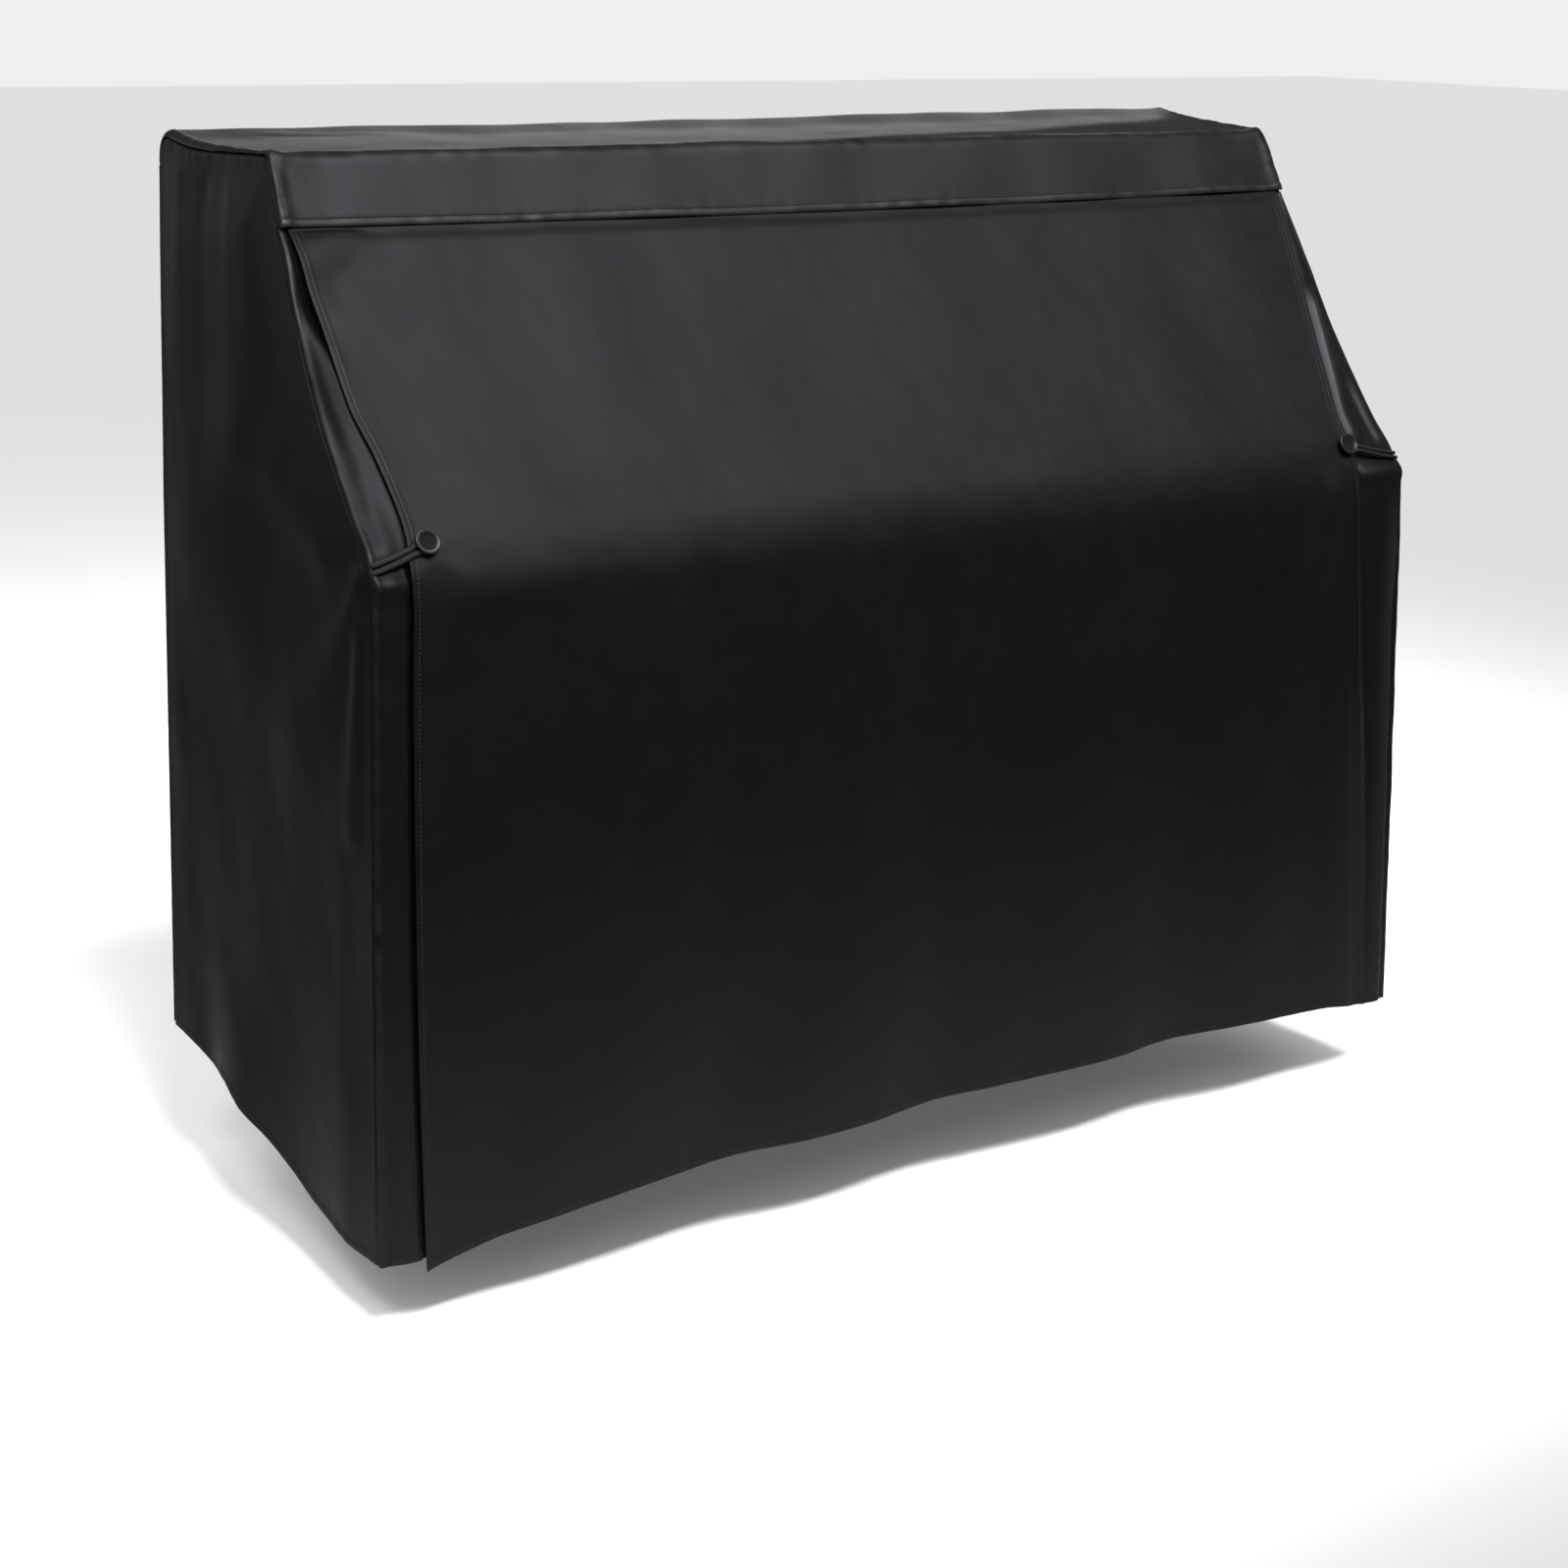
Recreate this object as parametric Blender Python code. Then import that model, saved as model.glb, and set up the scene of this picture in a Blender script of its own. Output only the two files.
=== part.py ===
"""A fitted cloth cover for an upright piano, shaped as it hangs on the instrument.

Metres, +Z up, +X to the player's right, the player at -Y. The origin is the middle of the lid sheet's
underside, where the piano's lid carries the cover. Each sheet is a grid of points on its outer face,
thickened inwards.
"""

import math

import bpy
import numpy as np
from mathutils import Matrix, Vector

# Cloth and the clearance between pieces that are sewn to each other
CLOTH = 0.002
GAP = 0.0003
SEAT = CLOTH + GAP
# Extra room behind pieces whose faces turn away from the rim they cover
STRIP_ROOM = 0.0010
BACK_ROOM = 0.0003

# Lid sheet and the band that turns down from it
LID_FRONT_Y = -0.127
LID_BACK_Y = 0.127
LID_BACK_RISE = 0.010
LID_FRONT_BEND = 0.010
LID_BACK_BEND = 0.024
LID_BACK_TURN = 84  # degrees
LID_BACK_DROP = 0.012
BAND_HEM_Y = -0.167
BAND_HEM_Z = -0.075
BAND_SAG = 0.005
TUCK_DEPTH = 0.016

# Half widths across the end sheets' outer faces
HALF_LID_FRONT = 0.729
HALF_LID_BACK = 0.750
HALF_ARM_FRONT = 0.752
HALF_ARM_BACK = 0.766
HALF_HEM_FRONT = 0.770
HALF_HEM_BACK = 0.784
# Share of the fall from the arm line to the back hem, past which the sheets hang straight
MOST_FALL = 1.1

# Front sheet: a slope from the band to the arm line, then a fall to the hem
ARM_Y = -0.420
ARM_Z = -0.414
ARM_BEND = 0.050
FRONT_HEM_Y = -0.437
SLOPE_SAG = 0.007

# Back sheet
BACK_HEM_Y = 0.141
BACK_HEM_Z = -1.082

# Return strips: how far they reach behind the front sheet, and how far they lie under it
STRIP_TUCK = 0.018
STRIP_CLEAR = 0.0022
STRIP_TOP_GAP = 0.0016
STRIP_TOP_CLEAR = 0.0026
STRIP_TOP_REACH = 0.022
CORNER_STEP = 0.006
STRIP_DIP = {"left": 0.013, "right": 0.003}
STRIP_DIP_Z = -0.155
STRIP_DIP_REACH = 0.038
STRIP_SHOWN = 0.75  # share of its columns in front of the front sheet's edge

# Distance from a seam over which a sheet's folds die out
SEAM_FADE = 0.03
BACK_SIDE_FADE = 0.04
BACK_TOP_FADE = 0.10

# Numbers of grid steps
COLUMNS_ACROSS = 32
LID_FLAT_STEPS = 4
BEND_STEPS = 3
SLOPE_STEPS = 8
FALL_STEPS = 7
STRIP_STEPS = 4
BACK_COLUMNS = 17
BACK_STEPS = 10
# Rows of the front sheet: the first below the band, and how far the bend's rows reach from the arm line
FIRST_SLOPE_Z = BAND_HEM_Z - 0.020
BEND_ROWS_REACH = 0.045
# Share of the end sheet's height in which its columns ease from the lid's spacing to an even one
EASE_SHARE = 0.25

# Level of each row of an end sheet's front edge, with the edge's place on the left and on the right
EDGE_COLUMNS = ("z", "left_y", "right_y")
EDGE_ROWS = (
    (-0.0753, -0.163, -0.163),
    (-0.120, -0.188, -0.189),
    (-0.176, -0.216, -0.222),
    (-0.236, -0.253, -0.259),
    (-0.301, -0.305, -0.304),
    (-0.359, -0.360, -0.350),
    (-0.400, -0.402, -0.391),
    (-0.430, -0.413, -0.410),
    (-0.520, -0.415, -0.413),
    (-0.640, -0.417, -0.415),
    (-0.780, -0.420, -0.418),
    (-0.930, -0.423, -0.421),
    (-1.070, -0.426, -0.424),
)
STRIP_HEM_Y = {"left": -0.428, "right": -0.427}
STRIP_HEM_Z = {"left": -1.190, "right": -1.172}

# Side edges of the front sheet
FLAP_COLUMNS = ("z", "left_x", "right_x")
FLAP_ROWS = (
    (-0.060, -0.7255, 0.724),
    (-0.075, -0.7255, 0.723),
    (-0.125, -0.724, 0.715),
    (-0.180, -0.720, 0.706),
    (-0.250, -0.718, 0.690),
    (-0.305, -0.707, 0.677),
    (-0.360, -0.702, 0.664),
    (-0.420, -0.708, 0.667),
    (-0.650, -0.716, 0.687),
    (-1.000, -0.721, 0.716),
    (-1.210, -0.720, 0.730),
)

# Hems, as they hang
FRONT_HEM_COLUMNS = ("x", "z")
FRONT_HEM = (
    (-0.720, -1.205),
    (-0.600, -1.178),
    (-0.450, -1.164),
    (0.000, -1.154),
    (0.450, -1.152),
    (0.600, -1.161),
    (0.740, -1.177),
)
END_HEM_COLUMNS = ("y", "z")
END_HEM = {
    "left": (
        (-0.430, -1.189),
        (-0.360, -1.191),
        (-0.300, -1.184),
        (-0.250, -1.177),
        (-0.200, -1.159),
        (-0.143, -1.139),
        (-0.087, -1.123),
        (-0.030, -1.102),
        (0.026, -1.100),
        (0.082, -1.089),
        (0.141, -1.084),
    ),
    "right": (
        (-0.430, -1.172),
        (-0.330, -1.178),
        (-0.230, -1.160),
        (-0.120, -1.150),
        (-0.030, -1.136),
        (0.060, -1.100),
        (0.141, -1.082),
    ),
}

# Folds: a line on a sheet, from (a0, b0) to (a1, b1), its half widths and its heights at both ends.
# Outwards is plus.
FOLD_COLUMNS = ("a0", "b0", "a1", "b1", "width0", "width1", "height0", "height1")
FRONT_FOLDS = (  # a is x, b is z
    (-0.620, -0.110, -0.700, -0.165, 0.022, 0.018, -0.006, -0.004),
    (-0.690, -0.105, -0.670, -0.150, 0.016, 0.020, 0.004, 0.002),
    (-0.545, -0.460, -0.500, -1.200, 0.070, 0.110, 0.002, 0.010),
    (-0.379, -0.430, -0.370, -0.800, 0.024, 0.040, 0.005, 0.003),
    (-0.330, -0.430, -0.300, -1.190, 0.030, 0.060, -0.006, -0.009),
    (-0.119, -0.450, -0.160, -1.180, 0.030, 0.080, 0.006, 0.012),
    (-0.040, -0.440, 0.010, -1.180, 0.028, 0.060, -0.007, -0.008),
    (0.180, -0.480, 0.220, -1.170, 0.060, 0.090, 0.002, 0.009),
    (0.400, -0.470, 0.370, -1.170, 0.050, 0.070, -0.002, -0.008),
    (0.625, -0.445, 0.500, -0.800, 0.022, 0.045, 0.006, 0.006),
    (0.500, -0.800, 0.520, -1.170, 0.045, 0.080, 0.006, 0.009),
    (0.655, -0.600, 0.690, -1.160, 0.018, 0.024, 0.004, 0.005),
)
END_FOLDS = {  # a is y, b is z
    "left": (
        (0.030, -0.050, 0.000, -0.850, 0.090, 0.120, 0.008, 0.012),
        (-0.095, -0.030, -0.210, -0.340, 0.035, 0.060, -0.007, -0.012),
        (-0.380, -0.425, -0.270, -0.530, 0.016, 0.040, 0.005, 0.004),
        (-0.375, -0.460, -0.330, -0.640, 0.016, 0.030, -0.005, -0.005),
        (-0.378, -0.520, -0.370, -0.760, 0.014, 0.020, 0.004, 0.004),
        (-0.060, -0.930, -0.065, -1.140, 0.040, 0.045, 0.000, 0.012),
        (0.020, -0.960, 0.020, -1.110, 0.030, 0.035, 0.000, -0.010),
        (-0.210, -0.800, -0.230, -1.170, 0.050, 0.060, -0.002, -0.008),
    ),
    "right": (
        (0.020, -0.060, 0.010, -0.820, 0.090, 0.120, 0.007, 0.012),
        (-0.090, -0.030, -0.200, -0.330, 0.040, 0.060, -0.006, -0.010),
        (-0.380, -0.430, -0.260, -0.560, 0.016, 0.040, 0.005, 0.004),
        (-0.375, -0.470, -0.330, -0.650, 0.018, 0.030, -0.004, -0.005),
        (-0.100, -0.900, -0.120, -1.140, 0.045, 0.050, 0.000, 0.010),
        (-0.010, -0.950, 0.000, -1.120, 0.035, 0.040, 0.000, -0.008),
        (-0.270, -0.820, -0.290, -1.170, 0.045, 0.055, 0.000, -0.007),
    ),
}
BACK_FOLDS = (  # a is x, b is z
    (-0.500, -0.150, -0.470, -1.080, 0.070, 0.110, 0.002, 0.010),
    (-0.210, -0.200, -0.240, -1.080, 0.060, 0.090, -0.001, -0.009),
    (0.060, -0.150, 0.090, -1.080, 0.060, 0.100, 0.002, 0.010),
    (0.340, -0.220, 0.310, -1.080, 0.060, 0.080, -0.001, -0.008),
    (0.560, -0.160, 0.590, -1.080, 0.060, 0.090, 0.002, 0.008),
)

# Buttons and the cord loops that hold them
BUTTON_X = {"left": -0.683, "right": 0.655}
BUTTON_Z = -0.386
BUTTON_RADIUS = 0.0145
BUTTON_RIM = 0.0032
BUTTON_DISH = 0.0016
SHANK_RADIUS = 0.0035
SHANK_HEIGHT = 0.0056
BUTTON_SIDES = 28
RIM_START = -60  # degrees
RIM_END = 120
RIM_STEPS = 5
RIM_SHARP = 35
CORD_RADIUS = 0.0021
LOOP_ANCHOR_Z = -0.406
LOOP_ANCHOR_INSET = 0.006
LOOP_ARCH = 0.003
LOOP_CLEAR = 0.0006
LOOP_STEPS = 10
LOOP_TURN_STEPS = 8
CORD_BEVEL_STEPS = 2

BLACK_CLOTH = (0.020, 0.019, 0.020, 1.0)
BLACK_CORD = (0.012, 0.012, 0.013, 1.0)
BLACK_RESIN = (0.008, 0.008, 0.009, 1.0)
CLOTH_ROUGHNESS = 0.6
CORD_ROUGHNESS = 0.7
RESIN_ROUGHNESS = 0.18

SIDES = {"left": -1, "right": 1}


def clear_scene():
    for obj in list(bpy.data.objects):
        bpy.data.objects.remove(obj, do_unlink=True)


def column(rows, names, name):
    """One named column of a table."""
    return np.array([row[names.index(name)] for row in rows])


def through(xs, ys, x):
    """A smooth curve through the table's points, read at x, without overshoot between them."""
    order = np.argsort(xs)
    xs, ys = xs[order], ys[order]
    steps = np.diff(ys) / np.diff(xs)
    slopes = np.concatenate([steps[:1], np.zeros(len(xs) - 2), steps[-1:]])
    inner = steps[:-1] * steps[1:] > 0
    slopes[1:-1][inner] = 2 / (1 / steps[:-1][inner] + 1 / steps[1:][inner])
    x = np.clip(x, xs[0], xs[-1])
    i = np.clip(np.searchsorted(xs, x) - 1, 0, len(xs) - 2)
    span = xs[i + 1] - xs[i]
    t = (x - xs[i]) / span
    rise = (3 - 2 * t) * t * t
    start = t * (1 - t) ** 2 * span * slopes[i]
    end = t * t * (t - 1) * span * slopes[i + 1]
    return ys[i] * (1 - rise) + ys[i + 1] * rise + start + end


def fold_height(folds, a, b):
    """How far the folds push a sheet outwards at (a, b)."""
    height = 0.0
    for a0, b0, a1, b1, width0, width1, height0, height1 in folds:
        run_a, run_b = a1 - a0, b1 - b0
        t = ((a - a0) * run_a + (b - b0) * run_b) / (run_a**2 + run_b**2)
        t = min(max(t, 0.0), 1.0)
        distance = math.hypot(a - a0 - t * run_a, b - b0 - t * run_b)
        width = width0 + t * (width1 - width0)
        height += (height0 + t * (height1 - height0)) * math.exp(-((distance / width) ** 2))
    return height


def mix(start, end, t):
    return start + (end - start) * t


def lid_height(y):
    """Outer face of the lid sheet: flat to the middle, then rising a little to the back."""
    return CLOTH + LID_BACK_RISE * max(0.0, y / LID_BACK_Y) ** 2


def arc(center_a, center_b, radius, start, end, steps):
    """Points (a, b) of an arc, by angle in degrees from +a towards +b."""
    angles = np.linspace(math.radians(start), math.radians(end), steps + 1)
    return [(center_a + radius * math.cos(a), center_b + radius * math.sin(a)) for a in angles]


def band_slant():
    """The band's lean from the vertical, in degrees."""
    return math.degrees(math.atan2(LID_FRONT_Y - BAND_HEM_Y, CLOTH - BAND_HEM_Z))


def band_sag(x):
    """How much longer the band is here than at its ends."""
    return BAND_SAG * (1 - (x / HALF_LID_FRONT) ** 2)


def lid_profile():
    """(y, z) along the lid sheet's outer face, from the seam at the back over the lid to the front bend."""
    back_top = CLOTH + LID_BACK_RISE - LID_BACK_BEND
    back = [(LID_BACK_Y, back_top - LID_BACK_DROP)]
    back += arc(LID_BACK_Y - LID_BACK_BEND, back_top, LID_BACK_BEND, 0, LID_BACK_TURN, BEND_STEPS)
    slant = band_slant()
    front_y = LID_FRONT_Y + LID_FRONT_BEND * math.tan(math.radians((90 - slant) / 2))
    front = arc(front_y, CLOTH - LID_FRONT_BEND, LID_FRONT_BEND, 90, 180 - slant, BEND_STEPS - 1)
    flat = [(y, lid_height(y)) for y in np.linspace(back[-1][0], front_y, LID_FLAT_STEPS + 1)[1:-1]]
    return back + flat + front


def band_profile():
    """(y, z) from the front bend to the band's hem, without the bend's last point."""
    start = lid_profile()[-1]
    return [(mix(start[0], BAND_HEM_Y, t), mix(start[1], BAND_HEM_Z, t)) for t in (0.5, 1.0)]


def inset(profile, depth):
    """A Y-Z profile moved inwards, to its right-hand side as it runs from back to front over the top."""
    points = np.array(profile)
    runs = np.diff(points, axis=0)
    runs /= np.linalg.norm(runs, axis=1)[:, None]
    inward = np.stack([-runs[:, 1], runs[:, 0]], axis=1)
    inward = np.concatenate([inward[:1], inward[:-1] + inward[1:], inward[-1:]])
    inward[1:-1] /= (np.linalg.norm(inward[1:-1], axis=1)[:, None] ** 2) / 2
    return points + depth * inward


def half_width(y, z):
    """Half the distance between the end sheets' outer faces, before folds."""
    arm = min(max(z / ARM_Z, 0.0), 1.0)
    fall = min(max((z - ARM_Z) / (BACK_HEM_Z - ARM_Z), 0.0), MOST_FALL)
    front = mix(HALF_LID_FRONT, HALF_ARM_FRONT, arm) + (HALF_HEM_FRONT - HALF_ARM_FRONT) * fall
    back = mix(HALF_LID_BACK, HALF_ARM_BACK, arm) + (HALF_HEM_BACK - HALF_ARM_BACK) * fall
    reach = (LID_BACK_Y - y) / (LID_BACK_Y - mix(LID_FRONT_Y, ARM_Y, arm))
    return mix(back, front, min(max(reach, 0.0), 1.0))


def end_x(side, y, z):
    """Outer face of an end sheet. Its folds die out at the seams."""
    front_y = edge_y(side, z)
    to_seam = min(y - front_y, back_y(z) - y, -z)
    fade = min(max(to_seam / SEAM_FADE, 0.0), 1.0)
    return SIDES[side] * (half_width(y, z) + fade * fold_height(END_FOLDS[side], y, z))


def back_y(z):
    """Outer face of the back sheet, before folds."""
    return mix(LID_BACK_Y, BACK_HEM_Y, min(max(z / BACK_HEM_Z, 0.0), 1.0))


def edge_y(side, z):
    """Where the outer face of the band or of the return strip turns into the end sheet."""
    if z > BAND_HEM_Z:
        return mix(BAND_HEM_Y, LID_FRONT_Y, min((z - BAND_HEM_Z) / (CLOTH - BAND_HEM_Z), 1.0))
    levels = np.append(column(EDGE_ROWS, EDGE_COLUMNS, "z"), STRIP_HEM_Z[side])
    places = np.append(column(EDGE_ROWS, EDGE_COLUMNS, side + "_y"), STRIP_HEM_Y[side])
    return float(through(levels, places, z))


def flap_edge_x(side, z):
    levels = column(FLAP_ROWS, FLAP_COLUMNS, "z")
    return float(through(levels, column(FLAP_ROWS, FLAP_COLUMNS, side + "_x"), z))


def front_hem_z(x):
    xs = column(FRONT_HEM, FRONT_HEM_COLUMNS, "x")
    return float(through(xs, column(FRONT_HEM, FRONT_HEM_COLUMNS, "z"), x))


def end_hem_z(side, y):
    ys = column(END_HEM[side], END_HEM_COLUMNS, "y")
    return float(through(ys, column(END_HEM[side], END_HEM_COLUMNS, "z"), y))


def front_profile(z):
    """(y, outward direction) of the front sheet's outer face at a level, before folds."""
    slope = np.array([ARM_Y - BAND_HEM_Y, ARM_Z - BAND_HEM_Z])
    slope /= np.linalg.norm(slope)
    fall = np.array([FRONT_HEM_Y - ARM_Y, front_hem_z(0.0) - ARM_Z])
    fall /= np.linalg.norm(fall)
    start = np.array([ARM_Y, ARM_Z]) - ARM_BEND * slope
    end = np.array([ARM_Y, ARM_Z]) + ARM_BEND * fall
    if z >= start[1]:
        t = (z - BAND_HEM_Z) / (start[1] - BAND_HEM_Z)
        y = mix(BAND_HEM_Y, start[0], t) + SLOPE_SAG * math.sin(math.pi * min(max(t, 0.0), 1.0))
        along = slope
    elif z >= end[1]:
        # A quadratic curve through the bend, which touches the slope and the fall
        a = start[1] - 2 * ARM_Z + end[1]
        b = 2 * (ARM_Z - start[1])
        t = (-b - math.sqrt(b * b - 4 * a * (start[1] - z))) / (2 * a)
        y = start[0] * (1 - t) ** 2 + 2 * ARM_Y * t * (1 - t) + end[0] * t * t
        along = mix(slope, fall, t)
    else:
        y = end[0] + (z - end[1]) * fall[0] / fall[1]
        along = fall
    along = along / np.linalg.norm(along)
    return y, np.array([along[1], -along[0]])


def front_point(x, z, lift=0.0):
    """A point on the front sheet's outer face, with its folds, raised by lift."""
    y, outward = front_profile(z)
    left, right = flap_edge_x("left", z), flap_edge_x("right", z)
    to_edge = min(x - left, right - x, BAND_HEM_Z - z)
    fade = min(max(to_edge / SEAM_FADE, 0.0), 1.0)
    height = lift + fade * fold_height(FRONT_FOLDS, x, z)
    return Vector((x, y + height * outward[0], z + height * outward[1]))


def plain_material(name, colour, roughness):
    material = bpy.data.materials.new(name)
    material.use_nodes = True
    shader = material.node_tree.nodes["Principled BSDF"]
    shader.inputs["Base Color"].default_value = colour
    shader.inputs["Roughness"].default_value = roughness
    shader.inputs["Metallic"].default_value = 0.0
    return material


def link(name, data, material):
    obj = bpy.data.objects.new(name, data)
    data.materials.append(material)
    bpy.context.collection.objects.link(obj)
    return obj


def sheet(name, rows):
    """Cloth through rows of outer points: left to right, and row by row downwards, as seen from outside."""
    width = len(rows[0])
    points = [tuple(point) for row in rows for point in row]
    faces = []
    for j in range(len(rows) - 1):
        for i in range(width - 1):
            first = j * width + i
            faces.append((first, first + width, first + width + 1, first + 1))
    mesh = bpy.data.meshes.new(name)
    mesh.from_pydata(points, [], faces)
    mesh.shade_smooth()
    obj = link(name, mesh, plain_material(name, BLACK_CLOTH, CLOTH_ROUGHNESS))
    solid = obj.modifiers.new("Thickness", "SOLIDIFY")
    solid.thickness = CLOTH
    solid.offset = -1.0
    solid.use_even_offset = True
    return obj


def top_panel():
    """The lid sheet with its band, reaching over the end sheets' rims."""
    rows = []
    for y, z in lid_profile() + band_profile():
        half = half_width(y, min(z, 0.0))
        rows.append([(x, y, z) for x in np.linspace(-half, half, COLUMNS_ACROSS + 1)])
    along = math.radians(band_slant())
    for i, (x, y, z) in enumerate(rows[-1]):
        sag = band_sag(x)
        rows[-1][i] = (x, y - sag * math.sin(along), z - sag * math.cos(along))
    sheet("top_panel", rows)


def rim_y(side, z, depth):
    """A place this deep behind the outer face of the band or of the return strip, measured square to it."""
    step = 0.002
    lean = (edge_y(side, z + step) - edge_y(side, z - step)) / (2 * step)
    return edge_y(side, z) + depth * math.hypot(1.0, lean)


def end_panel(side):
    """An end sheet. Its rim lies under the lid, the band and the return strip, and ends before the back."""
    top = inset(lid_profile(), SEAT)
    across = np.linspace(0.0, 1.0, len(top))
    share = (top[:, 0] - top[0, 0]) / (top[-1, 0] - top[0, 0])
    rows = [[(end_x(side, y, z), y, z) for y, z in top]]
    levels = [band_profile()[0][1], BAND_HEM_Z + CORNER_STEP]
    levels += list(column(EDGE_ROWS, EDGE_COLUMNS, "z"))
    for z in levels:
        front = rim_y(side, z, SEAT + (STRIP_ROOM if z <= BAND_HEM_Z else 0.0))
        back = back_y(z) - SEAT - BACK_ROOM
        even = min(z / levels[-1] / EASE_SHARE, 1.0)
        places = [mix(back, front, mix(s, t, even)) for s, t in zip(share, across)]
        rows.append([(end_x(side, y, z), y, z) for y in places])
    front = STRIP_HEM_Y[side] + SEAT + STRIP_ROOM
    hem = []
    for y in np.linspace(BACK_HEM_Y - SEAT - BACK_ROOM, front, len(top)):
        z = end_hem_z(side, y)
        hem.append((end_x(side, y, z), y, z))
    rows.append(hem)
    if side == "right":
        rows = [row[::-1] for row in rows]
    sheet("end_" + side, rows)


def back_panel():
    """The back sheet, whose side edges cover the end sheets' rims."""
    top = lid_profile()[0][1] - GAP
    rows = []
    for t in np.linspace(0.0, 1.0, BACK_STEPS + 1):
        z = mix(top, BACK_HEM_Z, t)
        half = half_width(back_y(z), z)
        row = []
        for x in np.linspace(half, -half, BACK_COLUMNS + 1):
            fade = min((half - abs(x)) / BACK_SIDE_FADE, (top - z) / BACK_TOP_FADE, 1.0)
            row.append((x, back_y(z) + fade * fold_height(BACK_FOLDS, x, z), z))
        rows.append(row)
    sheet("back_panel", rows)


def front_panel():
    """The front sheet, sewn under the band's hem and loose at its sides."""
    rows = []
    tuck = np.array([BAND_HEM_Y - LID_FRONT_Y, BAND_HEM_Z - CLOTH])
    tuck /= np.linalg.norm(tuck)
    for back in (TUCK_DEPTH, TUCK_DEPTH / 2, 0.0):
        row = []
        for u in np.linspace(0.0, 1.0, COLUMNS_ACROSS + 1):
            x = mix(FLAP_ROWS[0][1], FLAP_ROWS[0][2], u)
            down = band_sag(x) - back
            y = BAND_HEM_Y + down * tuck[0] - SEAT * tuck[1]
            z = BAND_HEM_Z + down * tuck[1] + SEAT * tuck[0]
            row.append((x, y, z))
        rows.append(row)
    bend_top, bend_foot = ARM_Z + BEND_ROWS_REACH, ARM_Z - BEND_ROWS_REACH
    slope = list(np.linspace(FIRST_SLOPE_Z, bend_top, SLOPE_STEPS + 1))
    arm = list(np.linspace(bend_top, bend_foot, BEND_STEPS + 2)[1:])
    for z in slope + arm:
        left, right = flap_edge_x("left", z), flap_edge_x("right", z)
        rows.append([front_point(x, z) for x in np.linspace(left, right, COLUMNS_ACROSS + 1)])
    start = arm[-1]
    for t in np.linspace(0.0, 1.0, FALL_STEPS + 1)[1:]:
        row = []
        for u in np.linspace(0.0, 1.0, COLUMNS_ACROSS + 1):
            x = mix(flap_edge_x("left", start), flap_edge_x("right", start), u)
            z = mix(start, front_hem_z(x), t)
            x = mix(flap_edge_x("left", z), flap_edge_x("right", z), u)
            row.append(front_point(x, z))
        rows.append(row)
    sheet("front_panel", rows)


def strip_row(side, z, hem=False):
    """One row of a return strip, from the end sheet's edge to behind the front sheet."""
    sign = SIDES[side]
    outer = Vector((end_x(side, edge_y(side, z), z), edge_y(side, z), z))
    x = flap_edge_x(side, z) - sign * STRIP_TUCK
    depth = CLOTH + STRIP_CLEAR
    depth += STRIP_DIP[side] * math.exp(-(((z - STRIP_DIP_Z) / STRIP_DIP_REACH) ** 2))
    depth += STRIP_TOP_CLEAR * math.exp(-(((z - BAND_HEM_Z) / STRIP_TOP_REACH) ** 2))
    inner = front_point(x, z, -depth)
    edge = front_point(flap_edge_x(side, z), z, -depth)
    row = []
    for t in np.linspace(0.0, 1.0, STRIP_STEPS + 1):
        # Two spans: the part that shows, then the part behind the front sheet
        if t <= STRIP_SHOWN:
            point = outer.lerp(edge, t / STRIP_SHOWN)
        else:
            point = edge.lerp(inner, (t - STRIP_SHOWN) / (1 - STRIP_SHOWN))
        row.append(point)
    if hem:
        for point in row:
            point.z = STRIP_HEM_Z[side]
    return row


def gusset(side):
    """The return strip sewn to the front edge of an end sheet."""
    levels = list(column(EDGE_ROWS, EDGE_COLUMNS, "z"))
    levels[0] = BAND_HEM_Z - STRIP_TOP_GAP
    rows = [strip_row(side, z) for z in levels] + [strip_row(side, STRIP_HEM_Z[side], hem=True)]
    if side == "right":
        rows = [row[::-1] for row in rows]
    sheet("gusset_" + side, rows)


def button_place(side):
    """The button's frame: its foot on the front sheet and its axis along the sheet's normal."""
    foot = front_point(BUTTON_X[side], BUTTON_Z)
    _, outward = front_profile(BUTTON_Z)
    axis = Vector((0.0, outward[0], outward[1]))
    across = Vector((1.0, 0.0, 0.0))
    up = axis.cross(across)
    turn = Matrix((across, up, axis)).transposed().to_4x4()
    return Matrix.Translation(foot) @ turn


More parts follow.
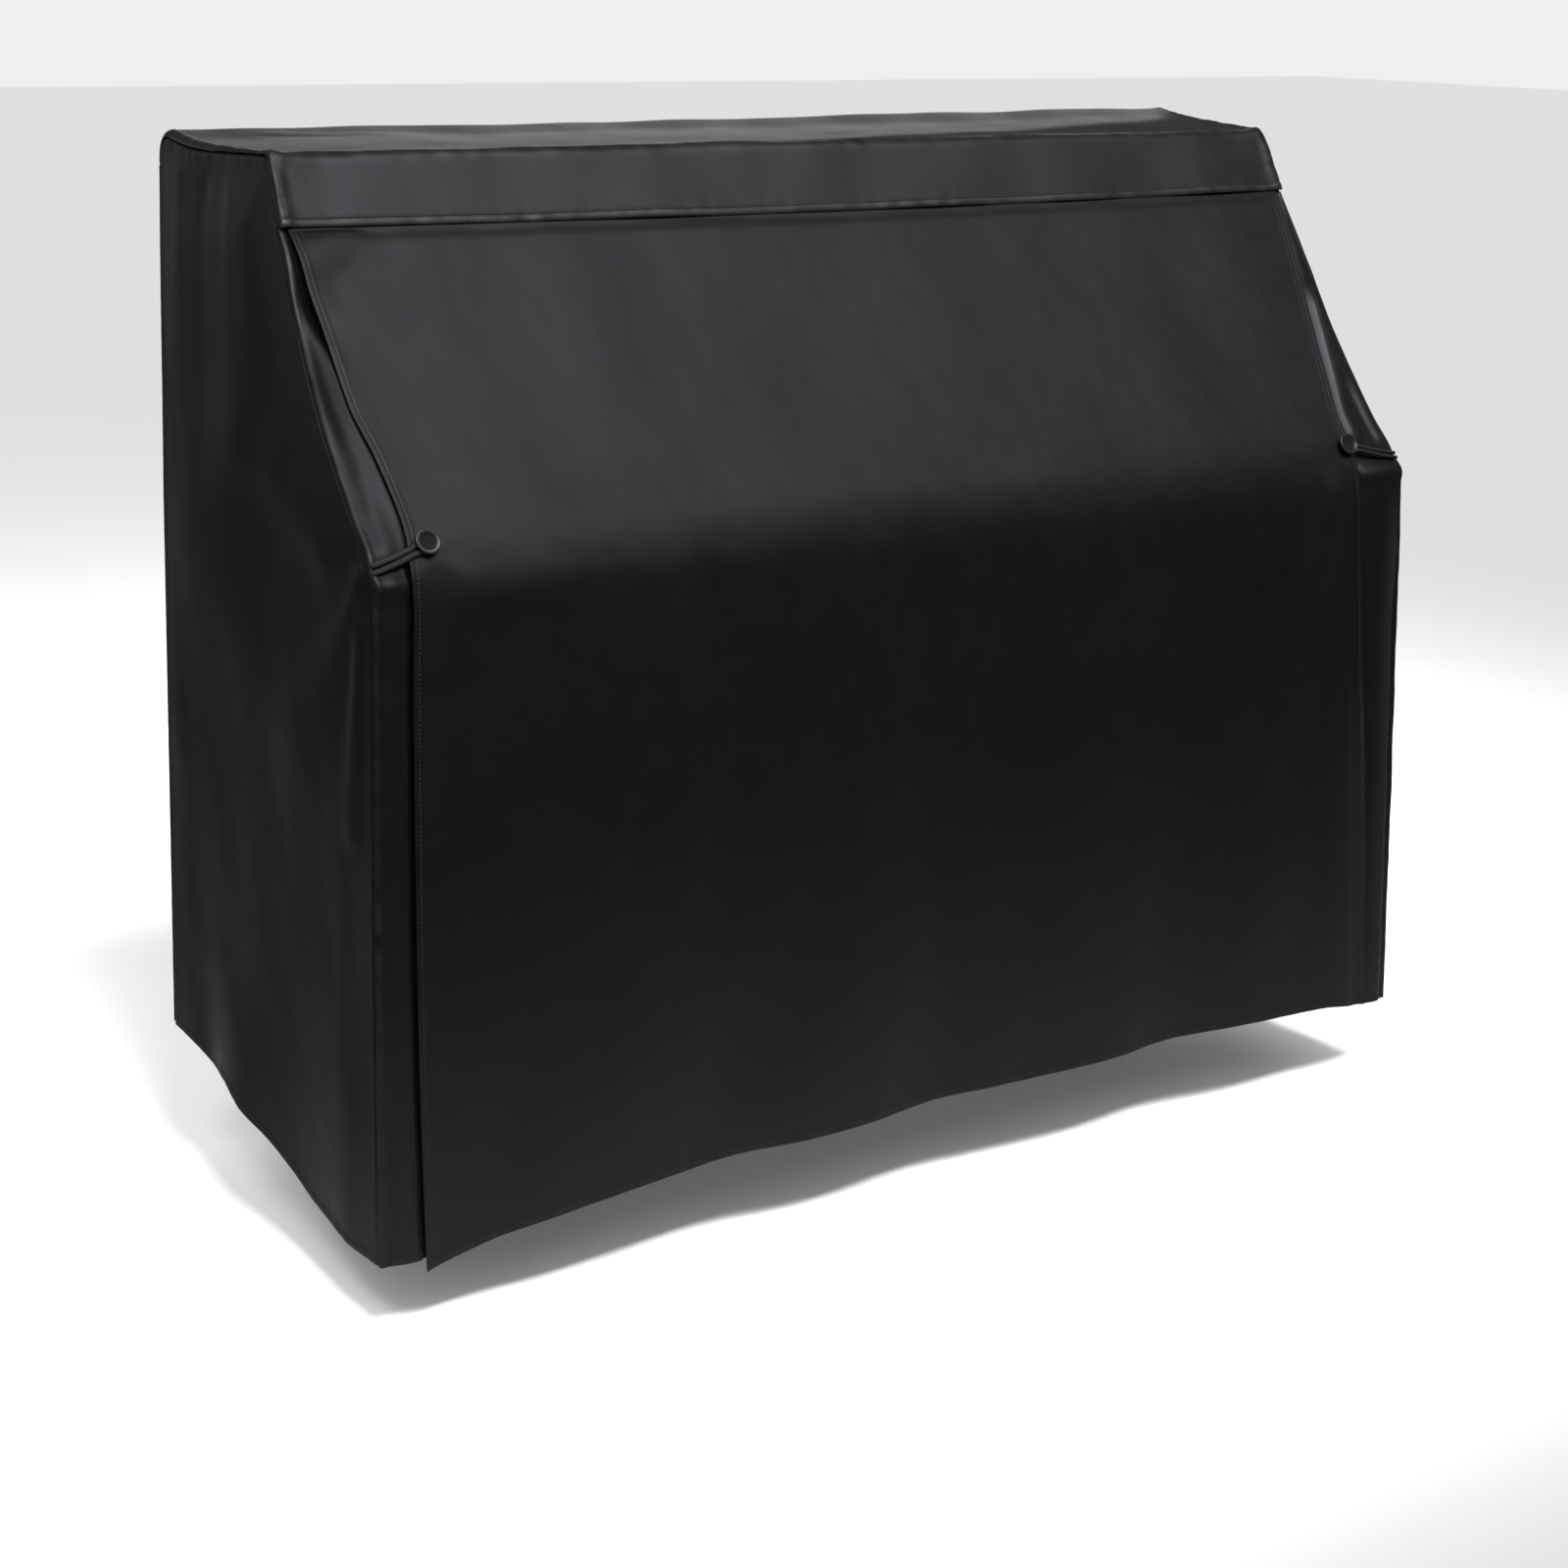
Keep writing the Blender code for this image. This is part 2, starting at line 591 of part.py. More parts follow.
def button(side):
    """A turned button: a shank that stands on the cloth and a dished disc with a round rim."""
    foot = SHANK_HEIGHT
    bead = BUTTON_RIM / 2
    rim = BUTTON_RADIUS - bead
    profile = [(SHANK_RADIUS, 0.0), (SHANK_RADIUS, foot), (rim, foot)]
    profile += arc(rim, foot + bead, bead, RIM_START, RIM_END, RIM_STEPS)
    profile.append((rim - BUTTON_RIM, foot + BUTTON_RIM - BUTTON_DISH))
    points = []
    for radius, height in profile:
        for k in range(BUTTON_SIDES):
            a = math.tau * k / BUTTON_SIDES
            points.append((radius * math.cos(a), radius * math.sin(a), height))
    faces = [tuple(reversed(range(BUTTON_SIDES)))]
    rings = len(profile)
    for j in range(rings - 1):
        for k in range(BUTTON_SIDES):
            a, b = j * BUTTON_SIDES + k, j * BUTTON_SIDES + (k + 1) % BUTTON_SIDES
            faces.append((a, b, b + BUTTON_SIDES, a + BUTTON_SIDES))
    faces.append(tuple(range((rings - 1) * BUTTON_SIDES, rings * BUTTON_SIDES)))
    name = "button_" + side
    mesh = bpy.data.meshes.new(name)
    mesh.from_pydata(points, [], faces)
    mesh.shade_smooth()
    mesh.set_sharp_from_angle(angle=math.radians(RIM_SHARP))
    obj = link(name, mesh, plain_material(name, BLACK_RESIN, RESIN_ROUGHNESS))
    obj.matrix_world = button_place(side)


def loop_route(side):
    """The cord's centre line: from the corner seam to the button, round its shank and back."""
    sign = SIDES[side]
    place = button_place(side)
    turn_radius = SHANK_RADIUS + CORD_RADIUS + LOOP_CLEAR
    lift = CORD_RADIUS + LOOP_CLEAR
    strands = []
    for strand in (1, -1):
        anchor_z = LOOP_ANCHOR_Z + strand * (CORD_RADIUS + GAP)
        outer, edge = strip_row(side, anchor_z)[0:2]
        anchor = outer.lerp(edge, LOOP_ANCHOR_INSET / abs(edge.x - outer.x))
        anchor.y -= CORD_RADIUS + GAP
        touch = place @ Vector((0.0, strand * turn_radius, lift))
        points = []
        for t in np.linspace(0.0, 1.0, LOOP_STEPS + 1):
            point = anchor.lerp(touch, t)
            point.y -= LOOP_ARCH * math.sin(math.pi * t)
            points.append(point)
        strands.append(points)
    turn = []
    for angle in np.linspace(90, -90, LOOP_TURN_STEPS + 1)[1:-1]:
        a = math.radians(angle)
        local = Vector((-sign * turn_radius * math.cos(a), turn_radius * math.sin(a), lift))
        turn.append(place @ local)
    return strands[0] + turn + strands[1][::-1]


def loop(side):
    """The cord loop: a round cord, open where both its ends are sewn into the corner seam."""
    name = "loop_" + side
    curve = bpy.data.curves.new(name, "CURVE")
    curve.dimensions = "3D"
    curve.bevel_depth = CORD_RADIUS
    curve.bevel_resolution = CORD_BEVEL_STEPS
    curve.use_fill_caps = True
    spline = curve.splines.new("POLY")
    route = loop_route(side)
    spline.points.add(len(route) - 1)
    for point, place in zip(spline.points, route):
        point.co = (*place, 1.0)
    link(name, curve, plain_material(name, BLACK_CORD, CORD_ROUGHNESS))


def main():
    clear_scene()
    top_panel()
    back_panel()
    front_panel()
    for side in SIDES:
        end_panel(side)
        gusset(side)
        button(side)
        loop(side)


main()
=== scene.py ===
"""Looks of a fitted cloth cover for an upright piano: sewn sheets, hems, stitches, cord loops and buttons.

Metres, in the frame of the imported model: +Z up, the player at -Y. Each sheet is a grid of points that repeats
its solid's outer face, with finer folds, seams and hems pressed into it, and an inner face behind.
"""

import math
from functools import partial

import bpy
import numpy as np
from mathutils import Matrix, Vector


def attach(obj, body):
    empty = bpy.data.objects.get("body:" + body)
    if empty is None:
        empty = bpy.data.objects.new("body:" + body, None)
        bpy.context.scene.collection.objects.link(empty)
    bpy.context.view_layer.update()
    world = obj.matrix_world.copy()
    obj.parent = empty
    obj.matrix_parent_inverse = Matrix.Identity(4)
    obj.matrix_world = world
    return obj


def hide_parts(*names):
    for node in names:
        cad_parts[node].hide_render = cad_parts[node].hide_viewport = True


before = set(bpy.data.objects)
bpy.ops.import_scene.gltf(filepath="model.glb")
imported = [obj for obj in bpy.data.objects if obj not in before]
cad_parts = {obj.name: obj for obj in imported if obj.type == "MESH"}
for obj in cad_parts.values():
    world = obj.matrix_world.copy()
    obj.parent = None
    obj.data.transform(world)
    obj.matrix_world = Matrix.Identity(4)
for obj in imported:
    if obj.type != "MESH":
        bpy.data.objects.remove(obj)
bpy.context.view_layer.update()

# Sizes that the solids have too, apart from a rounder bend at the lid's front
CLOTH = 0.002
LID_FRONT_Y = -0.127
LID_BACK_Y = 0.127
LID_BACK_RISE = 0.010
LID_FRONT_BEND = 0.016
LID_BACK_BEND = 0.024
LID_BACK_TURN = 84
LID_BACK_DROP = 0.012
BAND_HEM_Y = -0.167
BAND_HEM_Z = -0.075
BAND_SAG = 0.005
TUCK_DEPTH = 0.016
HALF_LID_FRONT = 0.729
HALF_LID_BACK = 0.750
HALF_ARM_FRONT = 0.752
HALF_ARM_BACK = 0.766
HALF_HEM_FRONT = 0.770
HALF_HEM_BACK = 0.784
MOST_FALL = 1.1
ARM_Y = -0.420
ARM_Z = -0.414
ARM_BEND = 0.050
FRONT_HEM_Y = -0.437
SLOPE_SAG = 0.007
BACK_HEM_Y = 0.141
BACK_HEM_Z = -1.082
STRIP_TUCK = 0.018
STRIP_CLEAR = 0.0022
STRIP_TOP_GAP = 0.0016
STRIP_TOP_CLEAR = 0.0026
STRIP_TOP_REACH = 0.022
STRIP_DIP = {"left": 0.013, "right": 0.003}
STRIP_DIP_Z = -0.155
STRIP_DIP_REACH = 0.038
SEAM_FADE = 0.03
FALL_START_Z = ARM_Z - 0.045
BUTTON_X = {"left": -0.683, "right": 0.655}
BUTTON_Z = -0.386
BUTTON_RADIUS = 0.0145
BUTTON_RIM = 0.0032
BUTTON_DISH = 0.0016
SHANK_RADIUS = 0.0035
SHANK_HEIGHT = 0.0056
CORD_RADIUS = 0.0021
LOOP_ANCHOR_Z = -0.406
LOOP_ANCHOR_INSET = 0.006
LOOP_ARCH = 0.003
LOOP_CLEAR = 0.0006
SIDES = {"left": -1, "right": 1}
BAND_SLANT = math.atan2(LID_FRONT_Y - BAND_HEM_Y, CLOTH - BAND_HEM_Z)
BAND_LENGTH = math.hypot(LID_FRONT_Y - BAND_HEM_Y, CLOTH - BAND_HEM_Z)

# Front edges of the end sheets. Columns: z, left, right
EDGE_ROWS = np.array((
    (-0.0753, -0.163, -0.163),
    (-0.120, -0.188, -0.189),
    (-0.176, -0.216, -0.222),
    (-0.236, -0.253, -0.259),
    (-0.301, -0.305, -0.304),
    (-0.359, -0.360, -0.350),
    (-0.400, -0.402, -0.391),
    (-0.430, -0.413, -0.410),
    (-0.520, -0.415, -0.413),
    (-0.640, -0.417, -0.415),
    (-0.780, -0.420, -0.418),
    (-0.930, -0.423, -0.421),
    (-1.070, -0.426, -0.424),
))
STRIP_HEM_Y = {"left": -0.428, "right": -0.427}
STRIP_HEM_Z = {"left": -1.190, "right": -1.172}
# Side edges of the front sheet. Columns: z, left, right
FLAP_ROWS = np.array((
    (-0.060, -0.7255, 0.724),
    (-0.075, -0.7255, 0.723),
    (-0.125, -0.724, 0.715),
    (-0.180, -0.720, 0.706),
    (-0.250, -0.718, 0.690),
    (-0.305, -0.707, 0.677),
    (-0.360, -0.702, 0.664),
    (-0.420, -0.708, 0.667),
    (-0.650, -0.716, 0.687),
    (-1.000, -0.721, 0.716),
    (-1.210, -0.720, 0.730),
))
SIDE_COLUMN = {"left": 1, "right": 2}
# Hems, as they hang. Columns: x, z
FRONT_HEM = np.array((
    (-0.720, -1.205),
    (-0.600, -1.178),
    (-0.450, -1.164),
    (0.000, -1.154),
    (0.450, -1.152),
    (0.600, -1.161),
    (0.740, -1.177),
))
# Columns: y, z
END_HEM = {
    "left": np.array((
        (-0.430, -1.189),
        (-0.360, -1.191),
        (-0.300, -1.184),
        (-0.250, -1.177),
        (-0.200, -1.159),
        (-0.143, -1.139),
        (-0.087, -1.123),
        (-0.030, -1.102),
        (0.026, -1.100),
        (0.082, -1.089),
        (0.141, -1.084),
    )),
    "right": np.array((
        (-0.430, -1.172),
        (-0.330, -1.178),
        (-0.230, -1.160),
        (-0.120, -1.150),
        (-0.030, -1.136),
        (0.060, -1.100),
        (0.141, -1.082),
    )),
}
# Folds. Columns: a0, b0, a1, b1, half width and height at each end. They are the solids' own, but for the flap's
# upper left corner and the left end, which have the finer creases and swells further down instead
FRONT_FOLDS = (  # a is x, b is z
    (-0.545, -0.460, -0.500, -1.200, 0.070, 0.110, 0.002, 0.010),
    (-0.379, -0.430, -0.370, -0.800, 0.024, 0.040, 0.005, 0.003),
    (-0.330, -0.430, -0.300, -1.190, 0.030, 0.060, -0.006, -0.009),
    (-0.119, -0.450, -0.160, -1.180, 0.030, 0.080, 0.006, 0.012),
    (-0.040, -0.440, 0.010, -1.180, 0.028, 0.060, -0.007, -0.008),
    (0.180, -0.480, 0.220, -1.170, 0.060, 0.090, 0.002, 0.009),
    (0.400, -0.470, 0.370, -1.170, 0.050, 0.070, -0.002, -0.008),
    (0.625, -0.445, 0.500, -0.800, 0.022, 0.045, 0.006, 0.006),
    (0.500, -0.800, 0.520, -1.170, 0.045, 0.080, 0.006, 0.009),
    (0.655, -0.600, 0.690, -1.160, 0.018, 0.024, 0.004, 0.005),
)
END_FOLDS = {  # a is y, b is z
    "left": (
        (0.070, -0.030, 0.075, -0.700, 0.045, 0.060, 0.003, 0.003),
        (-0.190, -0.335, -0.340, -0.400, 0.050, 0.030, 0.005, 0.003),
        (-0.390, -0.425, -0.230, -0.620, 0.016, 0.060, 0.004, 0.004),
        (-0.378, -0.480, -0.365, -0.700, 0.012, 0.018, 0.003, 0.003),
        (-0.060, -0.930, -0.065, -1.140, 0.050, 0.060, 0.000, 0.010),
        (0.030, -0.960, 0.030, -1.110, 0.040, 0.045, 0.000, -0.006),
        (-0.210, -0.800, -0.230, -1.170, 0.060, 0.070, 0.000, -0.005),
    ),
    "right": (
        (0.020, -0.060, 0.010, -0.820, 0.090, 0.120, 0.007, 0.012),
        (-0.090, -0.030, -0.200, -0.330, 0.040, 0.060, -0.006, -0.010),
        (-0.380, -0.430, -0.260, -0.560, 0.016, 0.040, 0.005, 0.004),
        (-0.375, -0.470, -0.330, -0.650, 0.018, 0.030, -0.004, -0.005),
        (-0.100, -0.900, -0.120, -1.140, 0.045, 0.050, 0.000, 0.010),
        (-0.010, -0.950, 0.000, -1.120, 0.035, 0.040, 0.000, -0.008),
        (-0.270, -0.820, -0.290, -1.170, 0.045, 0.055, 0.000, -0.007),
    ),
}
# Broad swells of the end sheets, which die out over a longer way to the seams
END_SWELLS = {
    "left": (
        (0.000, -0.100, -0.020, -0.420, 0.120, 0.130, 0.006, 0.008),
        (-0.075, -0.060, -0.092, -0.290, 0.060, 0.070, 0.005, 0.007),
        (-0.110, -0.300, -0.290, -0.400, 0.060, 0.040, 0.005, 0.004),
    ),
    "right": (),
}
BACK_FOLDS = (  # a is x, b is z
    (-0.500, -0.150, -0.470, -1.080, 0.070, 0.110, 0.002, 0.010),
    (-0.210, -0.200, -0.240, -1.080, 0.060, 0.090, -0.001, -0.009),
    (0.060, -0.150, 0.090, -1.080, 0.060, 0.100, 0.002, 0.010),
    (0.340, -0.220, 0.310, -1.080, 0.060, 0.080, -0.001, -0.008),
    (0.560, -0.160, 0.590, -1.080, 0.060, 0.090, 0.002, 0.008),
)

# Finer creases, in the same columns
FRONT_CREASES = (
    (-0.722, -0.112, -0.655, -0.078, 0.022, 0.016, 0.0052, 0.0022),
    (-0.690, -0.140, -0.610, -0.100, 0.014, 0.020, -0.0016, -0.0006),
    (-0.712, -0.200, -0.690, -0.330, 0.008, 0.010, 0.0008, 0.0004),
    (-0.640, -0.440, -0.120, -0.434, 0.028, 0.028, 0.0036, 0.0000),
    (-0.690, -0.400, -0.600, -0.436, 0.006, 0.014, 0.0010, 0.0000),
    (-0.690, -0.408, -0.655, -0.480, 0.006, 0.014, 0.0012, 0.0000),
    (-0.696, -0.415, -0.690, -0.540, 0.005, 0.010, 0.0012, 0.0004),
    (-0.470, -0.500, -0.455, -0.700, 0.016, 0.030, 0.0008, 0.0006),
    (-0.250, -0.490, -0.238, -0.640, 0.014, 0.028, -0.0009, -0.0004),
    (-0.190, -0.500, -0.205, -0.760, 0.014, 0.034, 0.0009, 0.0008),
    (0.055, -0.500, 0.075, -0.700, 0.016, 0.032, 0.0009, 0.0004),
    (0.250, -0.500, 0.235, -0.680, 0.016, 0.030, -0.0008, -0.0004),
    (0.480, -0.490, 0.440, -0.760, 0.016, 0.034, 0.0010, 0.0006),
    (0.655, -0.405, 0.560, -0.445, 0.006, 0.016, 0.0012, 0.0000),
    (0.655, -0.415, 0.625, -0.520, 0.006, 0.016, 0.0012, 0.0002),
    (-0.640, -0.900, -0.560, -1.150, 0.020, 0.040, 0.0010, 0.0022),
    (0.330, -0.900, 0.300, -1.150, 0.020, 0.036, 0.0008, 0.0020),
)
END_CREASES = {
    "left": (
        (-0.388, -0.412, -0.300, -0.440, 0.009, 0.020, 0.0018, 0.0004),
        (-0.390, -0.420, -0.325, -0.520, 0.009, 0.018, 0.0022, 0.0006),
        (-0.390, -0.425, -0.350, -0.560, 0.009, 0.016, -0.0020, -0.0006),
        (-0.392, -0.430, -0.372, -0.620, 0.009, 0.014, 0.0020, 0.0008),
        (-0.385, -0.405, -0.280, -0.370, 0.009, 0.022, -0.0016, -0.0004),
        (0.070, -0.040, 0.062, -0.420, 0.010, 0.030, 0.0010, 0.0004),
        (0.010, -0.040, 0.000, -0.330, 0.010, 0.028, -0.0009, -0.0004),
        (-0.045, -0.045, -0.075, -0.240, 0.008, 0.020, 0.0009, 0.0004),
        (-0.330, -0.700, -0.345, -1.150, 0.018, 0.026, 0.0006, 0.0010),
    ),
    "right": (
        (-0.385, -0.412, -0.295, -0.450, 0.009, 0.020, 0.0018, 0.0004),
        (-0.388, -0.422, -0.330, -0.540, 0.009, 0.018, 0.0022, 0.0006),
        (-0.388, -0.428, -0.360, -0.600, 0.009, 0.014, -0.0018, -0.0006),
        (0.060, -0.040, 0.066, -0.380, 0.010, 0.030, 0.0016, 0.0006),
        (-0.030, -0.040, -0.060, -0.320, 0.010, 0.026, 0.0018, 0.0008),
        (-0.120, -0.140, -0.180, -0.310, 0.012, 0.026, 0.0014, 0.0006),
        (0.060, -0.720, 0.050, -1.060, 0.016, 0.024, 0.0010, 0.0020),
        (-0.200, -0.760, -0.190, -1.120, 0.018, 0.028, 0.0010, 0.0020),
    ),
}
BACK_CREASES = (
    (-0.690, -0.080, -0.560, -0.300, 0.012, 0.030, 0.0020, 0.0004),
    (0.690, -0.080, 0.580, -0.280, 0.012, 0.030, 0.0020, 0.0004),
    (-0.360, -0.120, -0.350, -0.700, 0.016, 0.040, 0.0012, 0.0010),
    (-0.060, -0.100, -0.080, -0.620, 0.016, 0.040, -0.0012, -0.0010),
    (0.200, -0.100, 0.220, -0.660, 0.016, 0.040, 0.0014, 0.0010),
    (0.450, -0.120, 0.440, -0.600, 0.016, 0.040, -0.0012, -0.0008),
)
LID_CREASES = (  # a is x, b is the way from the front edge
    (-0.700, 0.020, -0.420, 0.100, 0.006, 0.016, 0.0008, 0.0002),
    (-0.640, 0.200, -0.300, 0.150, 0.008, 0.018, 0.0009, 0.0002),
    (0.690, 0.030, 0.450, 0.110, 0.006, 0.016, 0.0008, 0.0002),
    (0.100, 0.120, 0.420, 0.160, 0.010, 0.020, 0.0007, 0.0003),
    (-0.250, 0.060, 0.050, 0.090, 0.010, 0.020, 0.0006, 0.0003),
)

# How much further out the front corners of the ends stand than their solids. Columns: z, left, right
FLARE_ROWS = np.array((
    (-0.080, 0.000, 0.0005),
    (-0.150, 0.000, 0.0030),
    (-0.330, 0.000, 0.0030),
    (-0.430, 0.000, 0.0000),
    (-0.520, 0.000, 0.0015),
    (-0.750, 0.000, 0.0052),
    (-0.950, 0.000, 0.0080),
    (-1.200, 0.000, 0.0100),
))

# The same for the left back corner, which narrows towards the floor. Columns: z, outwards
REAR_ROWS = np.array((
    (0.000, 0.0036),
    (-0.100, 0.0033),
    (-0.200, 0.0025),
    (-0.300, 0.0013),
    (-0.500, 0.0000),
    (-0.700, -0.0007),
    (-0.900, -0.0017),
    (-1.080, -0.0026),
))

# Ways over which the end sheets' swells and the step before the lid's back roll die out
SWELL_FADE = 0.11
ROLL_FADE = 0.055

# Making of the cloth: its thickness, how far the flap lies under the band, and the corner seams
SHEET = 0.0010
SEAT = 0.0023
ROUND = 0.0034
SHOULDER = {"left": 0.0050, "right": 0.0004}
SEAM_GAP = 0.0004
TURN = 0.0028
ALLOWANCE = 0.007
FLANGE = (-ALLOWANCE, -0.0035, -0.0005)
FLANGE_LEAN = 0.04
# Half the stretch over which the lid's profile gives its direction to the end sheets
TOP_STRETCH = 0.010

# Folded hems: how wide and high they stand, where they are stitched, and how thick and how soft their inner side is
HEM = {"width": 0.0086, "rise": 0.0004, "stitch": 0.0064, "step": 0.0028, "double": 0.0007, "inner": 0.0015}
BAND_HEM = {"width": 0.0122, "rise": 0.0012, "stitch": 0.0108, "step": 0.0016, "double": 0.0009, "inner": 0.002}
GROOVE = 0.00036
GROOVE_WIDTH = 0.0011
# How much lighter the cloth is made towards the floor, and between which levels
FLOOR_LIGHTER_MOST = 0.75
LIGHTER_START_Z = -0.62
LIGHTER_END_Z = -1.22
END_LIGHTER_START_Z = -0.98
STITCH_LENGTH = 0.0034
STITCH_PITCH = 0.0049
STITCH_RADIUS = 0.00042
STITCH_SIDES = 6
STITCH_RINGS = 6
YARN_PITCH = 0.00062
# The loops' cords are pressed flat: width over height, and their braid's pitch
CORD_FLAT = {"left": 1.6, "right": 1.15}
CORD_SIDES = 32
CORD_STEP = 0.00045
BRAID_PITCH = 0.0075
BUTTON_SIDES = 96

# Places of the grid's lines beside hems, the band's hem, rounded corners and turned-in seams
EDGE_GRID = (0.0, 0.0003, 0.0008, 0.0016, 0.0028, 0.0042, 0.0054, 0.0064, 0.0074, 0.0086, 0.0100, 0.0120, 0.0150)
BAND_GRID = (0.0, 0.0003, 0.0008, 0.0017, 0.0030, 0.0050, 0.0072, 0.0090, 0.0100, 0.0108, 0.0116, 0.0126, 0.0145)
CORNER_GRID = (0.0, 0.0006, 0.0012, 0.0019, 0.0027, 0.0034, 0.0046, 0.0062, 0.0085, 0.0115, 0.0150)
SEAM_GRID = (0.0, 0.0005, 0.0011, 0.0019, 0.0028, 0.0042, 0.0062, 0.0085, 0.0120)
BACK_GRID = (0.0, 0.0005, 0.0010, 0.0016, 0.0026, 0.0045, 0.0080)
LID_GRID = (0.0, 0.0004, 0.001, 0.002, 0.0035, 0.006)

# The photo's camera
CAMERA_PLACE = (-1.971, -3.004, 0.201)
CAMERA_YAW, CAMERA_PITCH, CAMERA_ROLL = 0.591, 0.285, 0.017
FOCAL_PIXELS = 2834.85
PHOTO_PIXELS = 1600
SENSOR_WIDTH = 36.0
VIEW_END = 60.0

# The floor that the piano stands on, and the lights. The long one above the player is mirrored in the slope. The
# one at its left lights the return strip and the end sheet, the one at the left rear skims that end, and the one
# behind skims the lid
FLOOR_Z = -1.270
FLOOR_HALF = 30.0
WORLD_STRENGTH = 0.86
SOFTBOXES = (  # name, place, target, size, power, spread in degrees
    ("overhead", (0.15, -1.35, 1.4), (0.05, -0.25, -0.1), (2.8, 1.0), 82.0, 70),
    ("overhead_left", (-1.75, -1.0, 1.2), (-0.7, -0.4, -0.3), (0.8, 0.8), 3.0, 50),
    ("left_rear", (-2.3, 3.2, 0.3), (-0.8, 0.0, -0.2), (1.4, 1.2), 3.2, 60),
    ("behind", (2.7, 4.0, 1.5), (0.0, 0.0, 0.0), (3.4, 1.4), 12.5, 80),
)


def lerp(start, end, t):
    return start + (end - start) * t


def smooth(t):
    t = np.clip(t, 0.0, 1.0)
    return t * t * (3 - 2 * t)


def bell(distance, width):
    return np.exp(-((distance / width) ** 2))


def through(xs, ys, x):
    """A smooth curve through the points, read at x, without overshoot between them."""
    order = np.argsort(xs)
    xs, ys = xs[order], ys[order]
    steps = np.diff(ys) / np.diff(xs)
    slopes = np.concatenate([steps[:1], np.zeros(len(xs) - 2), steps[-1:]])
    inner = steps[:-1] * steps[1:] > 0
    slopes[1:-1][inner] = 2 / (1 / steps[:-1][inner] + 1 / steps[1:][inner])
    x = np.clip(x, xs[0], xs[-1])
    i = np.clip(np.searchsorted(xs, x) - 1, 0, len(xs) - 2)
    span = xs[i + 1] - xs[i]
    t = (x - xs[i]) / span
    rise = (3 - 2 * t) * t * t
    start = t * (1 - t) ** 2 * span * slopes[i]
    end = t * t * (t - 1) * span * slopes[i + 1]
    return ys[i] * (1 - rise) + ys[i + 1] * rise + start + end


def table_at(table, at, column=1):
    """A column of a table as a smooth curve over its first column, read at a place."""
    return through(table[:, 0], table[:, column], at)


def fold_height(folds, a, b):
    """How far the folds push a sheet outwards at (a, b)."""
    height = 0.0
    for a0, b0, a1, b1, width0, width1, height0, height1 in folds:
        run_a, run_b = a1 - a0, b1 - b0
        t = np.clip(((a - a0) * run_a + (b - b0) * run_b) / (run_a**2 + run_b**2), 0.0, 1.0)
        distance = np.hypot(a - a0 - t * run_a, b - b0 - t * run_b)
        height = height + lerp(height0, height1, t) * bell(distance, lerp(width0, width1, t))
    return height


def waves(a, b, seed, length, count=9, stretch=1.0):
    """Soft uneven height between about -1 and 1, in waves of about this length; stretch lengthens them along b."""
    draw = np.random.default_rng(seed)
    total = 0.0
    for _ in range(count):
        turn = draw.uniform(0, math.pi)
        size = length * draw.uniform(0.6, 1.7)
        phase = draw.uniform(0, math.tau)
        total = total + np.sin(math.tau * (a * math.cos(turn) + b / stretch * math.sin(turn)) / size + phase)
    return total / math.sqrt(count)


def puckers(along, seed, length, distance, at, reach):
    """Waves along a seam or a hem, which are strongest at this distance from it."""
    return waves(along, along * 0, seed, length) * bell(distance - at, reach)


def patchy(wear_and_highlight, a, b, seed, least=0.5, swing=0.3):
    """Wear that comes and goes along an edge."""
    return wear_and_highlight * (least + swing * waves(a, b, seed, 0.03))


def spread(length, start, end, step):
    """Places from 0 to length: fine ones at both ends and even ones between."""
    first, last = start[-1], length - end[-1]
    middle = np.linspace(first, last, max(2, round((last - first) / step)) + 1)
    return np.concatenate([start[:-1], middle, length - np.array(end[-2::-1])])


# ---------------------------------------------------------------- outer faces of the sheets

def lid_height(y):
    return CLOTH + LID_BACK_RISE * np.clip(y / LID_BACK_Y, 0.0, None) ** 2


def lid_raise(x, y):
    """How much higher the lid's cloth stands than its solid: it puffs up at the back, and more so at the right."""
    back = smooth((y + 0.06) / 0.17) * (0.0022 + 0.0048 * smooth((x + 0.15) / 0.55))
    way = np.clip((y - LID_FRONT_Y) / (LID_BACK_Y - LID_FRONT_Y), 0.0, 1.0)
    return back + 0.0050 * np.sin(math.pi * way) * smooth((x - 0.35) / 0.35)


def shoulder(side, run):
    """How much rounder the lid's side edges are towards the back, by the way from the back edge."""
    return SHOULDER[side] * smooth(run / 0.05) * (1 - smooth((run - 0.08) / 0.20))


def rear_flare(y, z):
    """How much further out the left back corner stands than its solid."""
    return table_at(REAR_ROWS, z) * smooth((y + 0.03) / 0.15)


def half_width(y, z):
    """Half the distance between the end sheets' outer faces, before folds."""
    arm = np.clip(z / ARM_Z, 0.0, 1.0)
    fall = np.clip((z - ARM_Z) / (BACK_HEM_Z - ARM_Z), 0.0, MOST_FALL)
    front = lerp(HALF_LID_FRONT, HALF_ARM_FRONT, arm) + (HALF_HEM_FRONT - HALF_ARM_FRONT) * fall
    back = lerp(HALF_LID_BACK, HALF_ARM_BACK, arm) + (HALF_HEM_BACK - HALF_ARM_BACK) * fall
    reach = (LID_BACK_Y - y) / (LID_BACK_Y - lerp(LID_FRONT_Y, ARM_Y, arm))
    return lerp(back, front, np.clip(reach, 0.0, 1.0))


def back_y(z):
    return lerp(LID_BACK_Y, BACK_HEM_Y, np.clip(z / BACK_HEM_Z, 0.0, 1.0))


